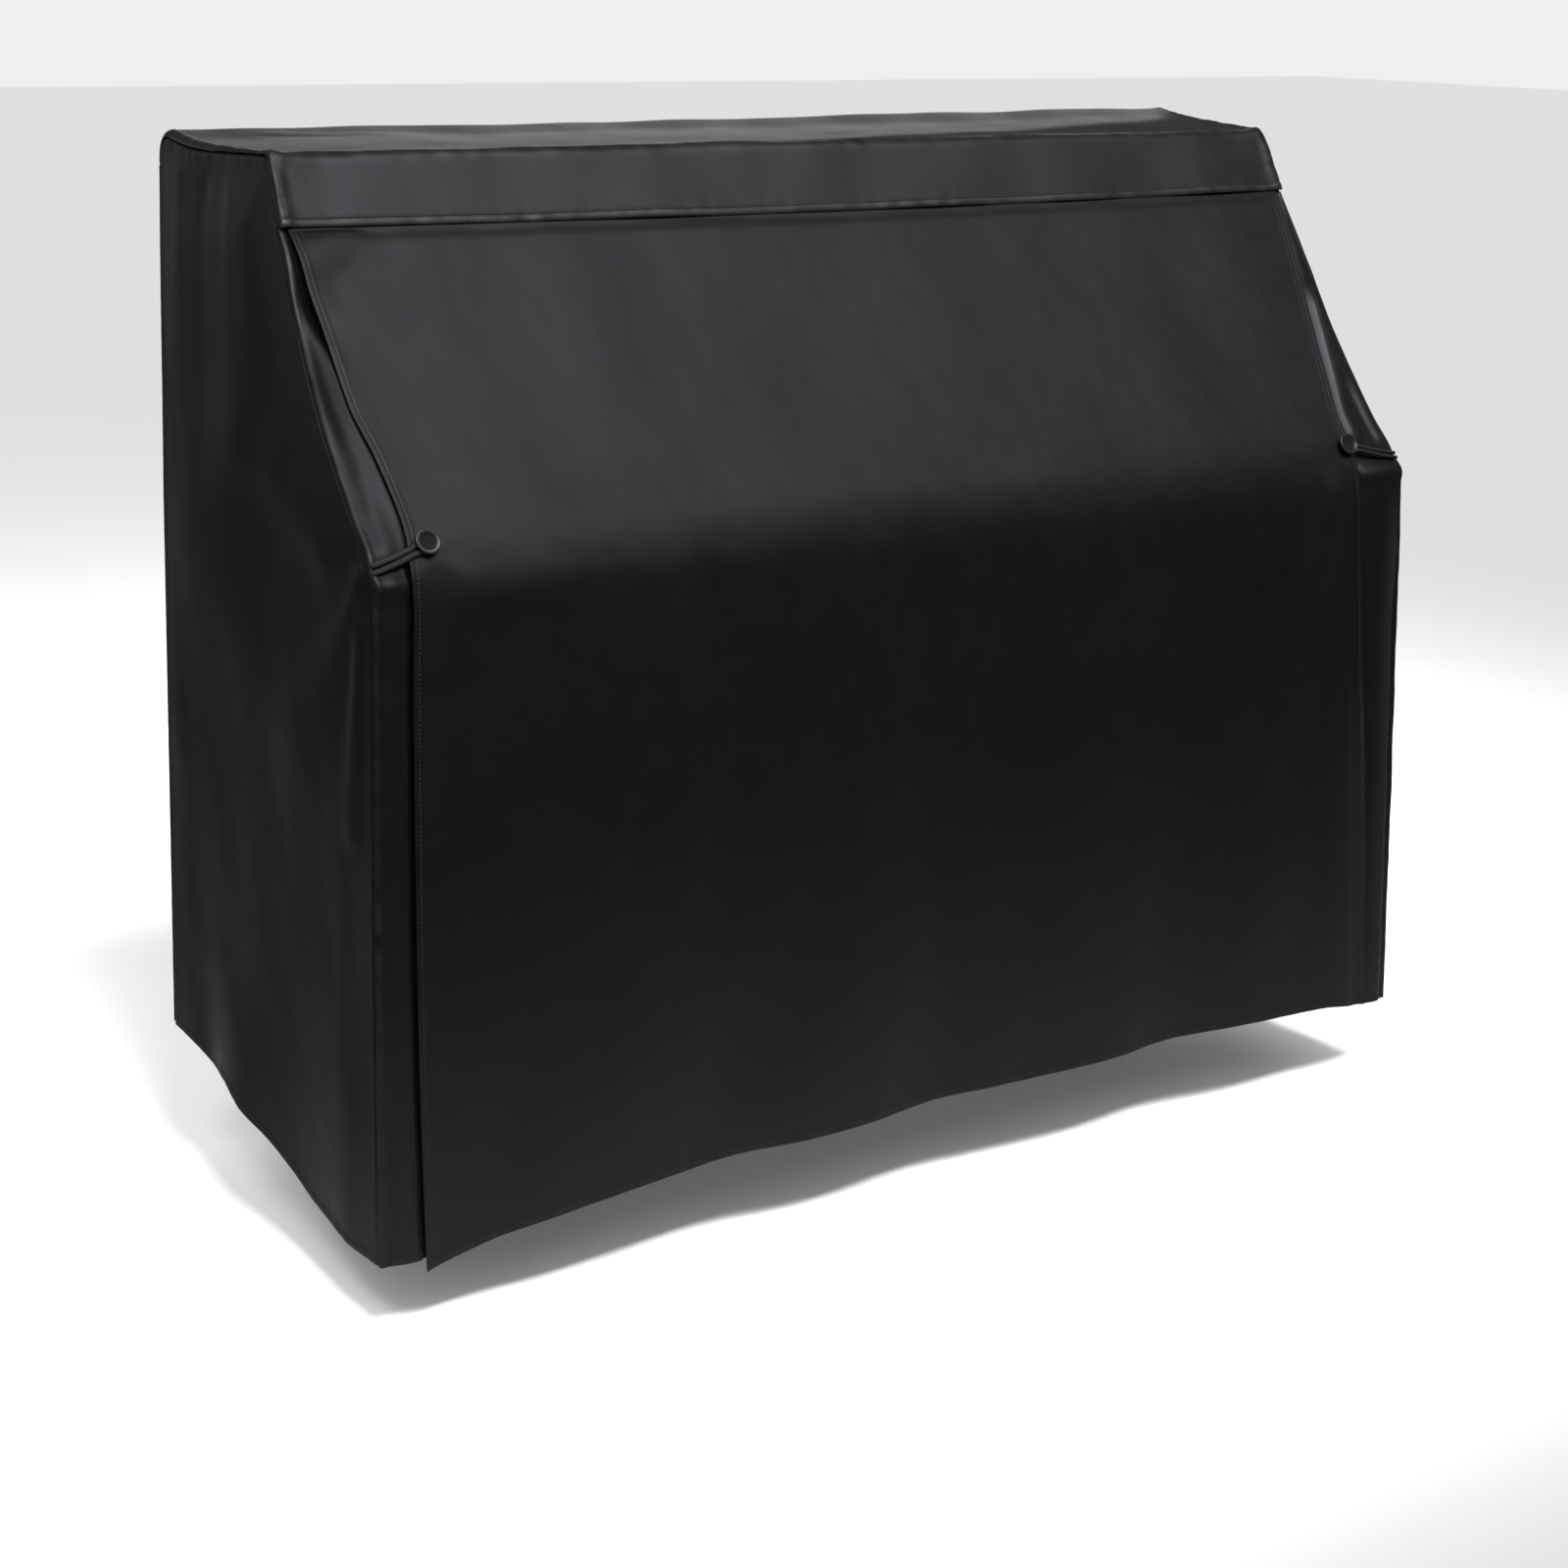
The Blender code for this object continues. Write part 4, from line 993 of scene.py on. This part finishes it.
def make_front():
    base = front_base()
    out = normals(base)
    left, right, top, bottom = row_distances(base)
    side = np.minimum(left, right)
    edge = np.minimum(side, bottom)
    x, z = base[..., 0], base[..., 2]
    shown = smooth((top - TUCK_DEPTH - 0.002) / 0.006)
    lie = np.clip((side - 0.010) / 0.06, 0.0, 1.0)
    slope = smooth((z - ARM_Z + 0.01) / 0.03)
    height = hem_height(side, HEM) * shown + hem_height(bottom, HEM)
    height += fold_height(FRONT_CREASES, x, z) * shown
    # The cloth is drawn straight where it bends over the arm line, and hangs loose below
    hang = smooth((ARM_Z - 0.020 - z) / 0.12)
    taut = 1 - 0.85 * bell(z - ARM_Z, 0.06)
    height += lie * shown * taut * (0.0007 + 0.0006 * hang) * waves(x, z, 21, 0.20, stretch=1.4)
    height += lie * hang * 0.0007 * waves(x, z, 22, 0.07, stretch=3.0)
    height += lie * slope * shown * 0.00010 * waves(x, z, 23, 0.06)
    # The flap's side edges curl a little off the return strips
    curl = (1 - slope) * np.where(x < 0, 0.0014, 0.0034 * smooth((-0.62 - z) / 0.25))
    height += curl * bell(side, 0.010) * shown
    height += 0.00016 * puckers(z, 24, 0.017, side, 0.006, 0.009) * shown
    height += 0.00016 * puckers(x, 25, 0.018, bottom, 0.007, 0.010) * shown
    base = base + out * height[..., None]
    thick = sheet_thickness(edge, edge, share=shown)
    wear_and_highlight = 0.15 * bell(side - 0.001, 0.003) + 0.5 * bell(bottom - 0.001, 0.003) + 0.12 * bell(z - ARM_Z, 0.02)
    # Painted highlight down the right edge and beside it, where the curled edge catches the light
    painted_highlight_and_wear = 0.7 * bell(right - 0.003, 0.0045) * smooth((-0.60 - z) / 0.20)
    painted_highlight_and_wear = painted_highlight_and_wear + 0.40 * bell(right - 0.018, 0.035) * smooth((-0.62 - z) / 0.25)
    wear_and_highlight = (patchy(wear_and_highlight, x, z, 26) + painted_highlight_and_wear + lighter_towards_floor(z)) * shown
    piece = grid_mesh("front_flap", base, thick, wear_and_highlight, CLOTH_LOOK)
    visible = (top[:, 0] > TUCK_DEPTH + 0.006) & (bottom[:, 0] > 0.004)
    for distance in (left, right):
        stitch_side("front", base, distance, visible)
    stitch_bottom("front", base, bottom, side, 0.004)
    return piece


# ---------------------------------------------------------------- end sheets

def end_flat(side):
    """An end sheet's grid in Y and Z, with its rows' way from the top seam and its columns' from the side seams."""
    profile, run = dense_profile()
    band_start = run[-1] - BAND_LENGTH
    depth = ROUND + SEAM_GAP
    # Directions over a wide stretch, so that the step behind the lid's back roll doesn't fold the offset line over
    ahead, behind = (
        np.stack([np.interp(run + reach, run, profile[:, i]) for i in range(2)], axis=1)
        for reach in (TOP_STRETCH, -TOP_STRETCH)
    )
    runs = ahead - behind
    runs /= np.linalg.norm(runs, axis=1)[:, None]
    lift = lid_raise(SIDES[side] * half_width(profile[:, 0], profile[:, 1]), profile[:, 0])
    lift *= np.clip(-runs[:, 0], 0.0, 1.0) * smooth((band_start - run) / 0.02)
    inside = profile + (depth + shoulder(side, run))[:, None] * np.stack([-runs[:, 1], runs[:, 0]], axis=1)
    inside[:, 1] += lift

    height_span, width_span = 1.15, 0.42
    down = np.concatenate([FLANGE, spread(height_span, SEAM_GRID, EDGE_GRID, 0.0070)])
    columns = spread(width_span, SEAM_GRID, SEAM_GRID, 0.0050)
    from_back = np.concatenate([FLANGE, columns, width_span - np.array(FLANGE[::-1])])
    from_front = width_span - from_back
    r = np.clip(down, 0.0, height_span) / height_span
    c = np.clip(from_back, 0.0, width_span) / width_span

    # The four sides of the face, and the even grid between them
    top_run = np.interp(c, [0, 1], [0, band_start])
    top = np.stack([np.interp(top_run, run, inside[:, 0]), np.interp(top_run, run, inside[:, 1])], axis=-1)
    hem_y = lerp(BACK_HEM_Y - depth, STRIP_HEM_Y[side] + depth, c)
    hem = np.stack([hem_y, table_at(END_HEM[side], hem_y)], axis=-1)
    back_z = lerp(top[0, 1], hem[0, 1], r)
    back = np.stack([back_y(back_z) - depth, back_z], axis=-1)
    front_z = lerp(top[-1, 1], hem[-1, 1], r)
    step = 0.003
    lean = (edge_y(side, front_z + step) - edge_y(side, front_z - step)) / (2 * step)
    front = np.stack([edge_y(side, front_z) + depth * np.hypot(1.0, lean), front_z], axis=-1)
    across, along = r[:, None, None], c[None, :, None]
    flat = lerp(top[None], hem[None], across) + lerp(back[:, None], front[:, None], along)
    flat = flat - lerp(lerp(top[0], top[-1], along), lerp(hem[0], hem[-1], along), across)
    # The allowances lean inwards a little, so that they don't coincide where two of them meet
    flat[..., 1] += FLANGE_LEAN * np.clip(down, None, 0.0)[:, None]
    flat[..., 0] += FLANGE_LEAN * (np.clip(from_back, None, 0.0) - np.clip(from_front, None, 0.0))[None]
    return flat[..., 0], flat[..., 1], down, from_back, from_front


def make_end(side):
    sign = SIDES[side]
    y, z, down, from_back, from_front = end_flat(side)
    base = np.stack([end_x(side, y, z), y, z], axis=-1)
    # It turns inwards along the top, back and front seams
    inward = np.maximum(turned_in(down)[:, None], np.maximum(turned_in(from_back), turned_in(from_front))[None])
    back_d, front_d, top_d, hem_d = row_distances(base)
    seam = np.minimum(np.minimum(back_d, front_d), top_d)
    lie = np.clip((seam - 0.010) / 0.05, 0.0, 1.0)
    height = hem_height(hem_d, HEM)
    height += fold_height(END_CREASES[side], y, z) * smooth(seam / 0.012)
    height += lie * 0.0011 * waves(y, z, 31 + sign, 0.22, stretch=1.8)
    height += lie * 0.0003 * waves(y, z, 35 + sign, 0.07, stretch=2.0)
    height += 0.0002 * bell(seam - 0.006, 0.005)
    pucker = puckers(z, 41 + sign, 0.019, front_d, 0.006, 0.012)
    pucker += puckers(y, 45 + sign, 0.020, top_d, 0.006, 0.012) + puckers(y, 45 + sign, 0.020, hem_d, 0.007, 0.010)
    height += 0.00024 * pucker * smooth(seam / 0.003)
    base[..., 0] += sign * (height - inward)
    thick = sheet_thickness(hem_d, hem_d)
    wear_and_highlight = 0.12 * bell(seam - 0.003, 0.003) + 0.6 * bell(hem_d - 0.001, 0.003)
    wear_and_highlight = patchy(wear_and_highlight, y, z, 47 + sign) + lighter_towards_floor(z, END_LIGHTER_START_Z)
    # Painted light: the upper rear of the end sheet is made lighter, as if lit from above and behind
    wear_and_highlight = wear_and_highlight + 0.30 * bell(top_d - 0.02, 0.10) * smooth((y + 0.16) / 0.12)
    if side == "right":
        base, thick, wear_and_highlight, hem_d, seam = (values[:, ::-1] for values in (base, thick, wear_and_highlight, hem_d, seam))
    piece = grid_mesh("end_sheet_" + side, base, thick, wear_and_highlight, CLOTH_LOOK)
    stitch_bottom("end_" + side, base, hem_d, seam, 0.004)
    return piece


# ---------------------------------------------------------------- back sheet

def make_back():
    top = CLOTH + LID_BACK_RISE - LID_BACK_BEND - LID_BACK_DROP - SEAM_GAP
    below = np.concatenate([FLANGE, spread(top - BACK_HEM_Z, BACK_GRID, EDGE_GRID, 0.0085)])
    z = top - np.clip(below, 0.0, None)
    width = 2 * HALF_ARM_BACK
    u = spread(width, CORNER_GRID, CORNER_GRID, 0.0105) / width * 2 - 1
    inward = turned_in(below)
    # The turned-in top edge gets narrower, so that its ends stay behind the end sheets
    half = half_width(back_y(z), z) - inward
    x = -half[:, None] * u - rear_flare(back_y(z), z)[:, None] * smooth((u - 0.8) / 0.2)
    z = np.broadcast_to(z[:, None], x.shape)
    fade = np.clip(np.minimum((half[:, None] - abs(x)) / 0.04, (top - z) / 0.1), 0.0, 1.0)
    base = np.stack([x, back_y(z) + fade * fold_height(BACK_FOLDS, x, z), z], axis=-1)
    left, right, down, bottom = row_distances(base)
    side = np.minimum(left, right)
    lie = np.clip((np.minimum(side, down) - 0.010) / 0.05, 0.0, 1.0)
    height = hem_height(bottom, HEM) + fold_height(BACK_CREASES, x, z)
    height += lie * (0.0014 * waves(x, z, 51, 0.20, stretch=1.6) + 0.0007 * waves(x, z, 52, 0.07, stretch=2.5))
    height += seam_ridge(side)
    pucker = puckers(x, 53, 0.018, bottom, 0.007, 0.010) + puckers(x, 53, 0.018, down, 0.006, 0.010)
    height += 0.0003 * (pucker + puckers(z, 54, 0.016, side, 0.008, 0.010))
    base[..., 1] += height - inward[:, None]
    base = rounded_side(base, np.sign(x), np.array([0.0, 1.0, 0.0]), side, ROUND)
    wear_and_highlight = patchy(0.6 * bell(side - 0.002, 0.003) + 0.6 * bell(bottom - 0.001, 0.003), x, z, 55) + lighter_towards_floor(z)
    piece = grid_mesh("back_sheet", base, sheet_thickness(bottom, bottom), wear_and_highlight, CLOTH_LOOK)
    stitch_bottom("back", base, bottom, side, 0.006)
    return piece


# ---------------------------------------------------------------- return strips

def strip_base(side, z):
    """Outer corner and the two inner points of a return strip's rows at levels z."""
    y = edge_y(side, z)
    outer = np.stack([end_x(side, y, z), y, z], axis=-1)
    depth = CLOTH + STRIP_CLEAR
    depth = depth + STRIP_DIP[side] * bell(z - STRIP_DIP_Z, STRIP_DIP_REACH)
    depth = depth + STRIP_TOP_CLEAR * bell(z - BAND_HEM_Z, STRIP_TOP_REACH)
    edge_x = flap_edge_x(side, z)
    inner_x = edge_x - SIDES[side] * STRIP_TUCK
    return outer, front_point(edge_x, z, -depth), front_point(inner_x, z, -depth)


def right_ridges(from_corner, to_edge, z):
    """Height of the right strip's three ridges, and the painted highlight along them."""
    ridge = bell(to_edge - 0.017, 0.0095) * smooth((-0.19 - z) / 0.04) * smooth((z + 0.40) / 0.03)
    small_ridge = bell(from_corner - 0.024, 0.0075) * smooth((-0.30 - z) / 0.04) * smooth((z + 0.402) / 0.02)
    # One side of the ridge along the corner is steep, and the other falls off softly to the flap
    past = from_corner - lerp(0.012, 0.020, smooth((-0.45 - z) / 0.20))
    corner_ridge = bell(past, np.where(past < 0, 0.0055, 0.0150)) * smooth((-0.42 - z) / 0.12)
    height = 0.0066 * ridge + 0.0048 * small_ridge + 0.0034 * corner_ridge
    return height, 0.7 * ridge + small_ridge + corner_ridge


def make_strip(side):
    sign = SIDES[side]
    top, foot = BAND_HEM_Z - STRIP_TOP_GAP, STRIP_HEM_Z[side]
    levels = top - spread(top - foot, (0.0, 0.002, 0.005), EDGE_GRID, 0.0050)
    outer, edge, inner = strip_base(side, levels)
    width = np.linalg.norm(edge - outer, axis=1)[:, None]
    columns, hidden = 26, 6
    t = np.linspace(0.0, 1.0, columns + 1) ** 1.25
    base = outer[:, None] + (edge - outer)[:, None] * t[None, :, None]
    more = edge[:, None] + (inner - edge)[:, None] * np.linspace(0, 1, hidden + 1)[1:][None, :, None]
    base = np.concatenate([base, more], axis=1)
    share = np.concatenate([t, np.full(hidden, 1.0)])[None]
    out = normals(base) * -sign
    from_corner, _, down, bottom = row_distances(base)
    to_edge = width - from_corner
    z = base[..., 2]
    wide = np.clip(width / 0.05, 0.0, 1.0)
    height = hem_height(bottom, HEM)
    # A ridge along the corner seam, a trough beside it and a soft bulge in the middle
    height += 0.0010 * bell(from_corner - 0.0045, 0.0035) * np.clip(wide * 2, 0, 1)
    height += wide * (-0.0003 * bell(from_corner - 0.014, 0.006) + 0.0020 * bell(share - 0.55, 0.25))
    height += wide * 0.0005 * waves(z, from_corner, 61 + sign, 0.090, stretch=0.6)
    height += wide * 0.00022 * waves(z, from_corner, 65 + sign, 0.030)
    # The right strip's ridges get a painted highlight as well as their height
    painted_highlight_and_wear = 0.0
    if side == "right":
        ridges, painted_highlight_and_wear = right_ridges(from_corner, to_edge, z)
        height += ridges
    # The cloth gives way under the flap's edge
    below = smooth((ARM_Z + 0.02 - z) / 0.03)
    gap_reach = 0.0050 if side == "left" else 0.0150
    height -= (0.0042 * below + 0.0008) * (1 - smooth((to_edge + 0.0005) / gap_reach)) * wide
    # It swells out below the loop, and is drawn in at the loop itself
    flat_way = 1 - np.clip(abs(2 * share - 1), 0.0, 1.0) ** 9
    height += 0.0062 * bell(z - (LOOP_ANCHOR_Z - 0.020), 0.011) * flat_way
    height -= 0.0030 * bell(z - LOOP_ANCHOR_Z, 0.008) * bell(share - 0.5, 0.5)
    height = height * smooth((down - 0.001) / 0.02)
    base = rounded_side(base + out * height[..., None], sign, out, from_corner, ROUND)
    thick = sheet_thickness(bottom, bottom)
    wear_and_highlight = 0.8 * bell(from_corner - 0.003, 0.003) + 0.6 * bell(bottom - 0.001, 0.003)
    wear_and_highlight = patchy(wear_and_highlight, z, from_corner, 67) + lighter_towards_floor(z) + painted_highlight_and_wear
    if side == "right":
        turned = (values[:, ::-1] for values in (base, thick, wear_and_highlight, bottom, from_corner))
        base, thick, wear_and_highlight, bottom, from_corner = turned
    piece = grid_mesh("return_strip_" + side, base, thick, wear_and_highlight, CLOTH_LOOK)
    stitch_bottom("strip_" + side, base, bottom, from_corner, 0.004)
    return piece


# ---------------------------------------------------------------- stitches

def make_stitches(name, lines):
    """Every stitch of a sheet as one mesh of small rounded threads that dip into the cloth at both ends."""
    spots = np.linspace(-0.5, 0.5, STITCH_RINGS)
    lift = STITCH_RADIUS * (1.5 - 2.6 * (2 * spots) ** 4 * 0.8)
    girth = STITCH_RADIUS * np.sqrt(np.clip(1.02 - (2 * spots) ** 6, 0.12, 1.0))
    angles = np.arange(STITCH_SIDES)[:, None] * math.tau / STITCH_SIDES
    points, faces = [], []
    draw = np.random.default_rng(71)
    for line, ways in lines:
        run = np.concatenate([[0], np.cumsum(np.linalg.norm(np.diff(line, axis=0), axis=1))])
        for k in range(int((run[-1] - STITCH_PITCH) / STITCH_PITCH)):
            middle = (k + 0.8 + draw.uniform(-0.03, 0.03)) * STITCH_PITCH
            at = middle + spots * STITCH_LENGTH * draw.uniform(0.94, 1.04)
            centre = np.stack([np.interp(at, run, line[:, i]) for i in range(3)], axis=-1)
            out = np.array([np.interp(middle, run, ways[:, i]) for i in range(3)])
            out /= np.linalg.norm(out)
            along = centre[-1] - centre[0]
            along /= np.linalg.norm(along)
            across = np.cross(along, out)
            across /= np.linalg.norm(across)
            centre = centre + out * lift[:, None]
            first = len(points) * STITCH_SIDES
            for middle_point, radius in zip(centre, girth):
                points.append(middle_point + radius * (np.cos(angles) * across + np.sin(angles) * out))
            for j in range(STITCH_RINGS - 1):
                row = first + j * STITCH_SIDES
                for i in range(STITCH_SIDES):
                    a, b = row + i, row + (i + 1) % STITCH_SIDES
                    faces.append((a, b, b + STITCH_SIDES, a + STITCH_SIDES))
            last = first + (STITCH_RINGS - 1) * STITCH_SIDES
            faces.append(tuple(first + i for i in reversed(range(STITCH_SIDES))))
            faces.append(tuple(last + i for i in range(STITCH_SIDES)))
    mesh = bpy.data.meshes.new(name)
    mesh.from_pydata(np.concatenate(points).tolist(), [], faces)
    mesh.shade_smooth()
    return link(name, mesh, THREAD_LOOK)


# ---------------------------------------------------------------- buttons and loops

def button_frame(side):
    """Where a button stands on the front sheet: its local X along the piano and its local Z out of the cloth."""
    foot = front_point(np.float64(BUTTON_X[side]), np.float64(BUTTON_Z))
    _, out_y, out_z = front_profile(BUTTON_Z)
    axis = Vector((0.0, float(out_y), float(out_z)))
    across = Vector((1.0, 0.0, 0.0))
    turn = Matrix((across, axis.cross(across), axis)).transposed().to_4x4()
    return Matrix.Translation(Vector(foot)) @ turn


def make_button(side):
    """A turned button: shank, disc, rolled rim and dish."""
    foot, bead = SHANK_HEIGHT, BUTTON_RIM / 2
    rim = BUTTON_RADIUS - bead
    # Shank and underside, as radius and height
    profile = [
        (SHANK_RADIUS * 1.25, -0.0006),
        (SHANK_RADIUS * 1.1, 0.0002),
        (SHANK_RADIUS * 0.92, 0.0016),
        (SHANK_RADIUS * 0.92, foot - 0.0012),
        (SHANK_RADIUS * 1.2, foot - 0.0003),
        (SHANK_RADIUS * 1.6, foot),
        (rim * 0.8, foot + 0.0001),
    ]
    for a in np.radians(np.linspace(-80, 150, 22)):
        profile.append((rim + bead * math.cos(a), foot + bead + bead * math.sin(a)))
    # The dish, as shares of the rim's radius and of the dish's depth, and how much painted shade it has
    base = foot + BUTTON_RIM - BUTTON_DISH
    dish_rows = (
        (0.84, 0.85, 0.0),
        (0.77, 0.25, 0.4),
        (0.70, -0.20, 0.8),
        (0.60, -0.46, 1.0),
        (0.45, -0.60, 1.0),
        (0.30, -0.68, 1.0),
        (0.15, -0.72, 1.0),
        (0.03, -0.74, 1.0),
    )
    profile += [(rim * radius, base + BUTTON_DISH * height) for radius, height, _ in dish_rows]
    profile = np.array(profile)
    dish = np.zeros(len(profile))
    dish[-len(dish_rows):] = [dust_and_dish_shade for _, _, dust_and_dish_shade in dish_rows]
    angles = np.arange(BUTTON_SIDES) * math.tau / BUTTON_SIDES
    radius, height = profile[:, :1], profile[:, 1:]
    rings = np.broadcast_arrays(radius * np.cos(angles), radius * np.sin(angles), height)
    piece = tube_mesh("button_disc_" + side, np.stack(rings, axis=-1), BUTTON_LOOK)
    values = np.repeat(dish, BUTTON_SIDES).astype(np.float32)
    piece.data.attributes.new("dish", "FLOAT", "POINT").data.foreach_set("value", values)
    piece.data.transform(button_frame(side))
    return piece


def loop_route(side):
    """Points down one strand of a loop, round the button's shank and back along the other strand."""
    place = button_frame(side)
    half = CORD_RADIUS * CORD_FLAT[side]
    turn_radius = SHANK_RADIUS + half + LOOP_CLEAR
    lift = CORD_RADIUS + LOOP_CLEAR
    strands = []
    for strand in (1, -1):
        z = np.float64(LOOP_ANCHOR_Z + strand * (half + 0.0003))
        outer, edge, _ = strip_base(side, z)
        way = (edge - outer) / abs(edge[0] - outer[0])
        anchor = outer + way * (LOOP_ANCHOR_INSET - 0.004)
        anchor[1] -= CORD_RADIUS * 0.4
        touch = np.array(place @ Vector((0.0, strand * turn_radius, lift)))
        beside = np.array(place @ Vector((0.0, strand * (half + 0.0002), lift)))
        t = np.linspace(0.0, 1.0, 18)
        points = lerp(anchor, beside, t[:, None]) + (touch - beside) * smooth((t[:, None] - 0.72) / 0.28)
        points[:, 1] -= LOOP_ARCH * np.sin(math.pi * t) + 0.0007 * np.sin(math.pi * np.clip(t * 4, 0, 1))
        points[:, 2] -= 0.0012 * np.sin(math.pi * t)
        strands.append(points)
    turn = []
    for a in np.radians(np.linspace(90, -90, 12)[1:-1]):
        turn.append(place @ Vector((-SIDES[side] * turn_radius * math.cos(a), turn_radius * math.sin(a), lift)))
    return np.concatenate([strands[0], np.array(turn), strands[1][::-1]])


def make_loop(side):
    """A braided cord swept along its route, with its strands as ridges that cross each other."""
    route = loop_route(side)
    run = np.concatenate([[0], np.cumsum(np.linalg.norm(np.diff(route, axis=0), axis=1))])
    at = np.linspace(0, run[-1], round(run[-1] / CORD_STEP))
    line = np.stack([through(run, route[:, i], at) for i in range(3)], axis=-1)
    for _ in range(12):
        line[1:-1] = (line[:-2] + 2 * line[1:-1] + line[2:]) / 4
    along = np.gradient(line, axis=0)
    along /= np.linalg.norm(along, axis=1)[:, None]
    across = np.cross(along, np.array([0.0, -0.8, 0.6]))
    across /= np.linalg.norm(across, axis=1)[:, None]
    up = np.cross(across, along)
    angles = np.arange(CORD_SIDES)[None] * math.tau / CORD_SIDES
    lay = 2 * math.tau * at[:, None] / BRAID_PITCH
    braid = np.maximum(np.sin(4 * angles + lay), np.sin(4 * angles - lay + 0.7))
    radius = CORD_RADIUS * (0.93 + 0.09 * braid)
    wide = CORD_FLAT[side] * np.cos(angles)[..., None] * across[:, None]
    points = line[:, None] + radius[..., None] * (wide + np.sin(angles)[..., None] * up[:, None])
    return tube_mesh("loop_cord_" + side, points, CORD_LOOK)


# ---------------------------------------------------------------- camera, light and floor

def make_camera():
    yaw, pitch, roll = CAMERA_YAW, CAMERA_PITCH, CAMERA_ROLL
    forward = Vector((math.sin(yaw) * math.cos(pitch), math.cos(yaw) * math.cos(pitch), -math.sin(pitch)))
    level = Vector((math.cos(yaw), -math.sin(yaw), 0.0))
    upright = level.cross(forward)
    right = level * math.cos(roll) + upright * math.sin(roll)
    up = upright * math.cos(roll) - level * math.sin(roll)
    data = bpy.data.cameras.new("photo_view")
    data.sensor_width = SENSOR_WIDTH
    data.lens = FOCAL_PIXELS * SENSOR_WIDTH / PHOTO_PIXELS
    data.clip_end = VIEW_END
    camera = bpy.data.objects.new("photo_view", data)
    turn = Matrix((right, up, -forward)).transposed().to_4x4()
    camera.matrix_world = Matrix.Translation(CAMERA_PLACE) @ turn
    bpy.context.scene.collection.objects.link(camera)
    bpy.context.scene.camera = camera


def floor_material():
    material, tree, shader = nodes_of("pale_floor")
    cloud = noise(tree, node(tree, "TexCoord").outputs["Object"], Scale=1.5, Detail=2.0)
    tree.links.new(ramp(tree, cloud, [0.86 * 0.985] * 3, [0.86] * 3), shader.inputs["Base Color"])
    shader.inputs["Roughness"].default_value = 0.8
    shader.inputs["Specular IOR Level"].default_value = 0.2
    return material


def make_studio():
    mesh = bpy.data.meshes.new("floor")
    corners = [(FLOOR_HALF * x, FLOOR_HALF * y, FLOOR_Z) for x, y in ((-1, -1), (1, -1), (1, 1), (-1, 1))]
    mesh.from_pydata(corners, [], [(0, 1, 2, 3)])
    link("floor", mesh, floor_material())
    world = bpy.data.worlds.new("studio")
    world.use_nodes = True
    world.node_tree.nodes["Background"].inputs[0].default_value = (1.0, 1.0, 1.0, 1)
    world.node_tree.nodes["Background"].inputs[1].default_value = WORLD_STRENGTH
    bpy.context.scene.world = world
    for name, place, target, size, power, spread_angle in SOFTBOXES:
        data = bpy.data.lights.new(name, "AREA")
        data.shape = "RECTANGLE"
        data.size, data.size_y = size
        data.energy = power
        data.spread = math.radians(spread_angle)
        light = bpy.data.objects.new(name, data)
        light.location = place
        light.rotation_mode = "QUATERNION"
        light.rotation_quaternion = (Vector(target) - Vector(place)).to_track_quat("-Z", "Y")
        light.visible_camera = False
        bpy.context.scene.collection.objects.link(light)
    bpy.context.scene.view_settings.view_transform = "Standard"
    bpy.context.scene.view_settings.look = "None"


# ---------------------------------------------------------------- making and declaring

make_camera()
make_studio()

pieces = {
    "lid": (make_lid(), "top_panel"),
    "front": (make_front(), "front_panel"),
    "back": (make_back(), "back_panel"),
}
for side in SIDES:
    pieces["end_" + side] = (make_end(side), "end_" + side)
    pieces["strip_" + side] = (make_strip(side), "gusset_" + side)
    pieces["loop_" + side] = (make_loop(side), "loop_" + side)
    pieces["button_" + side] = (make_button(side), "button_" + side)
for name, (piece, solid) in pieces.items():
    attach(piece, "root")
    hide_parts(solid)

threads = {}
for name, lines in stitch_lines.items():
    threads[name] = make_stitches("stitches_" + name, lines)
    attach(threads[name], "root")
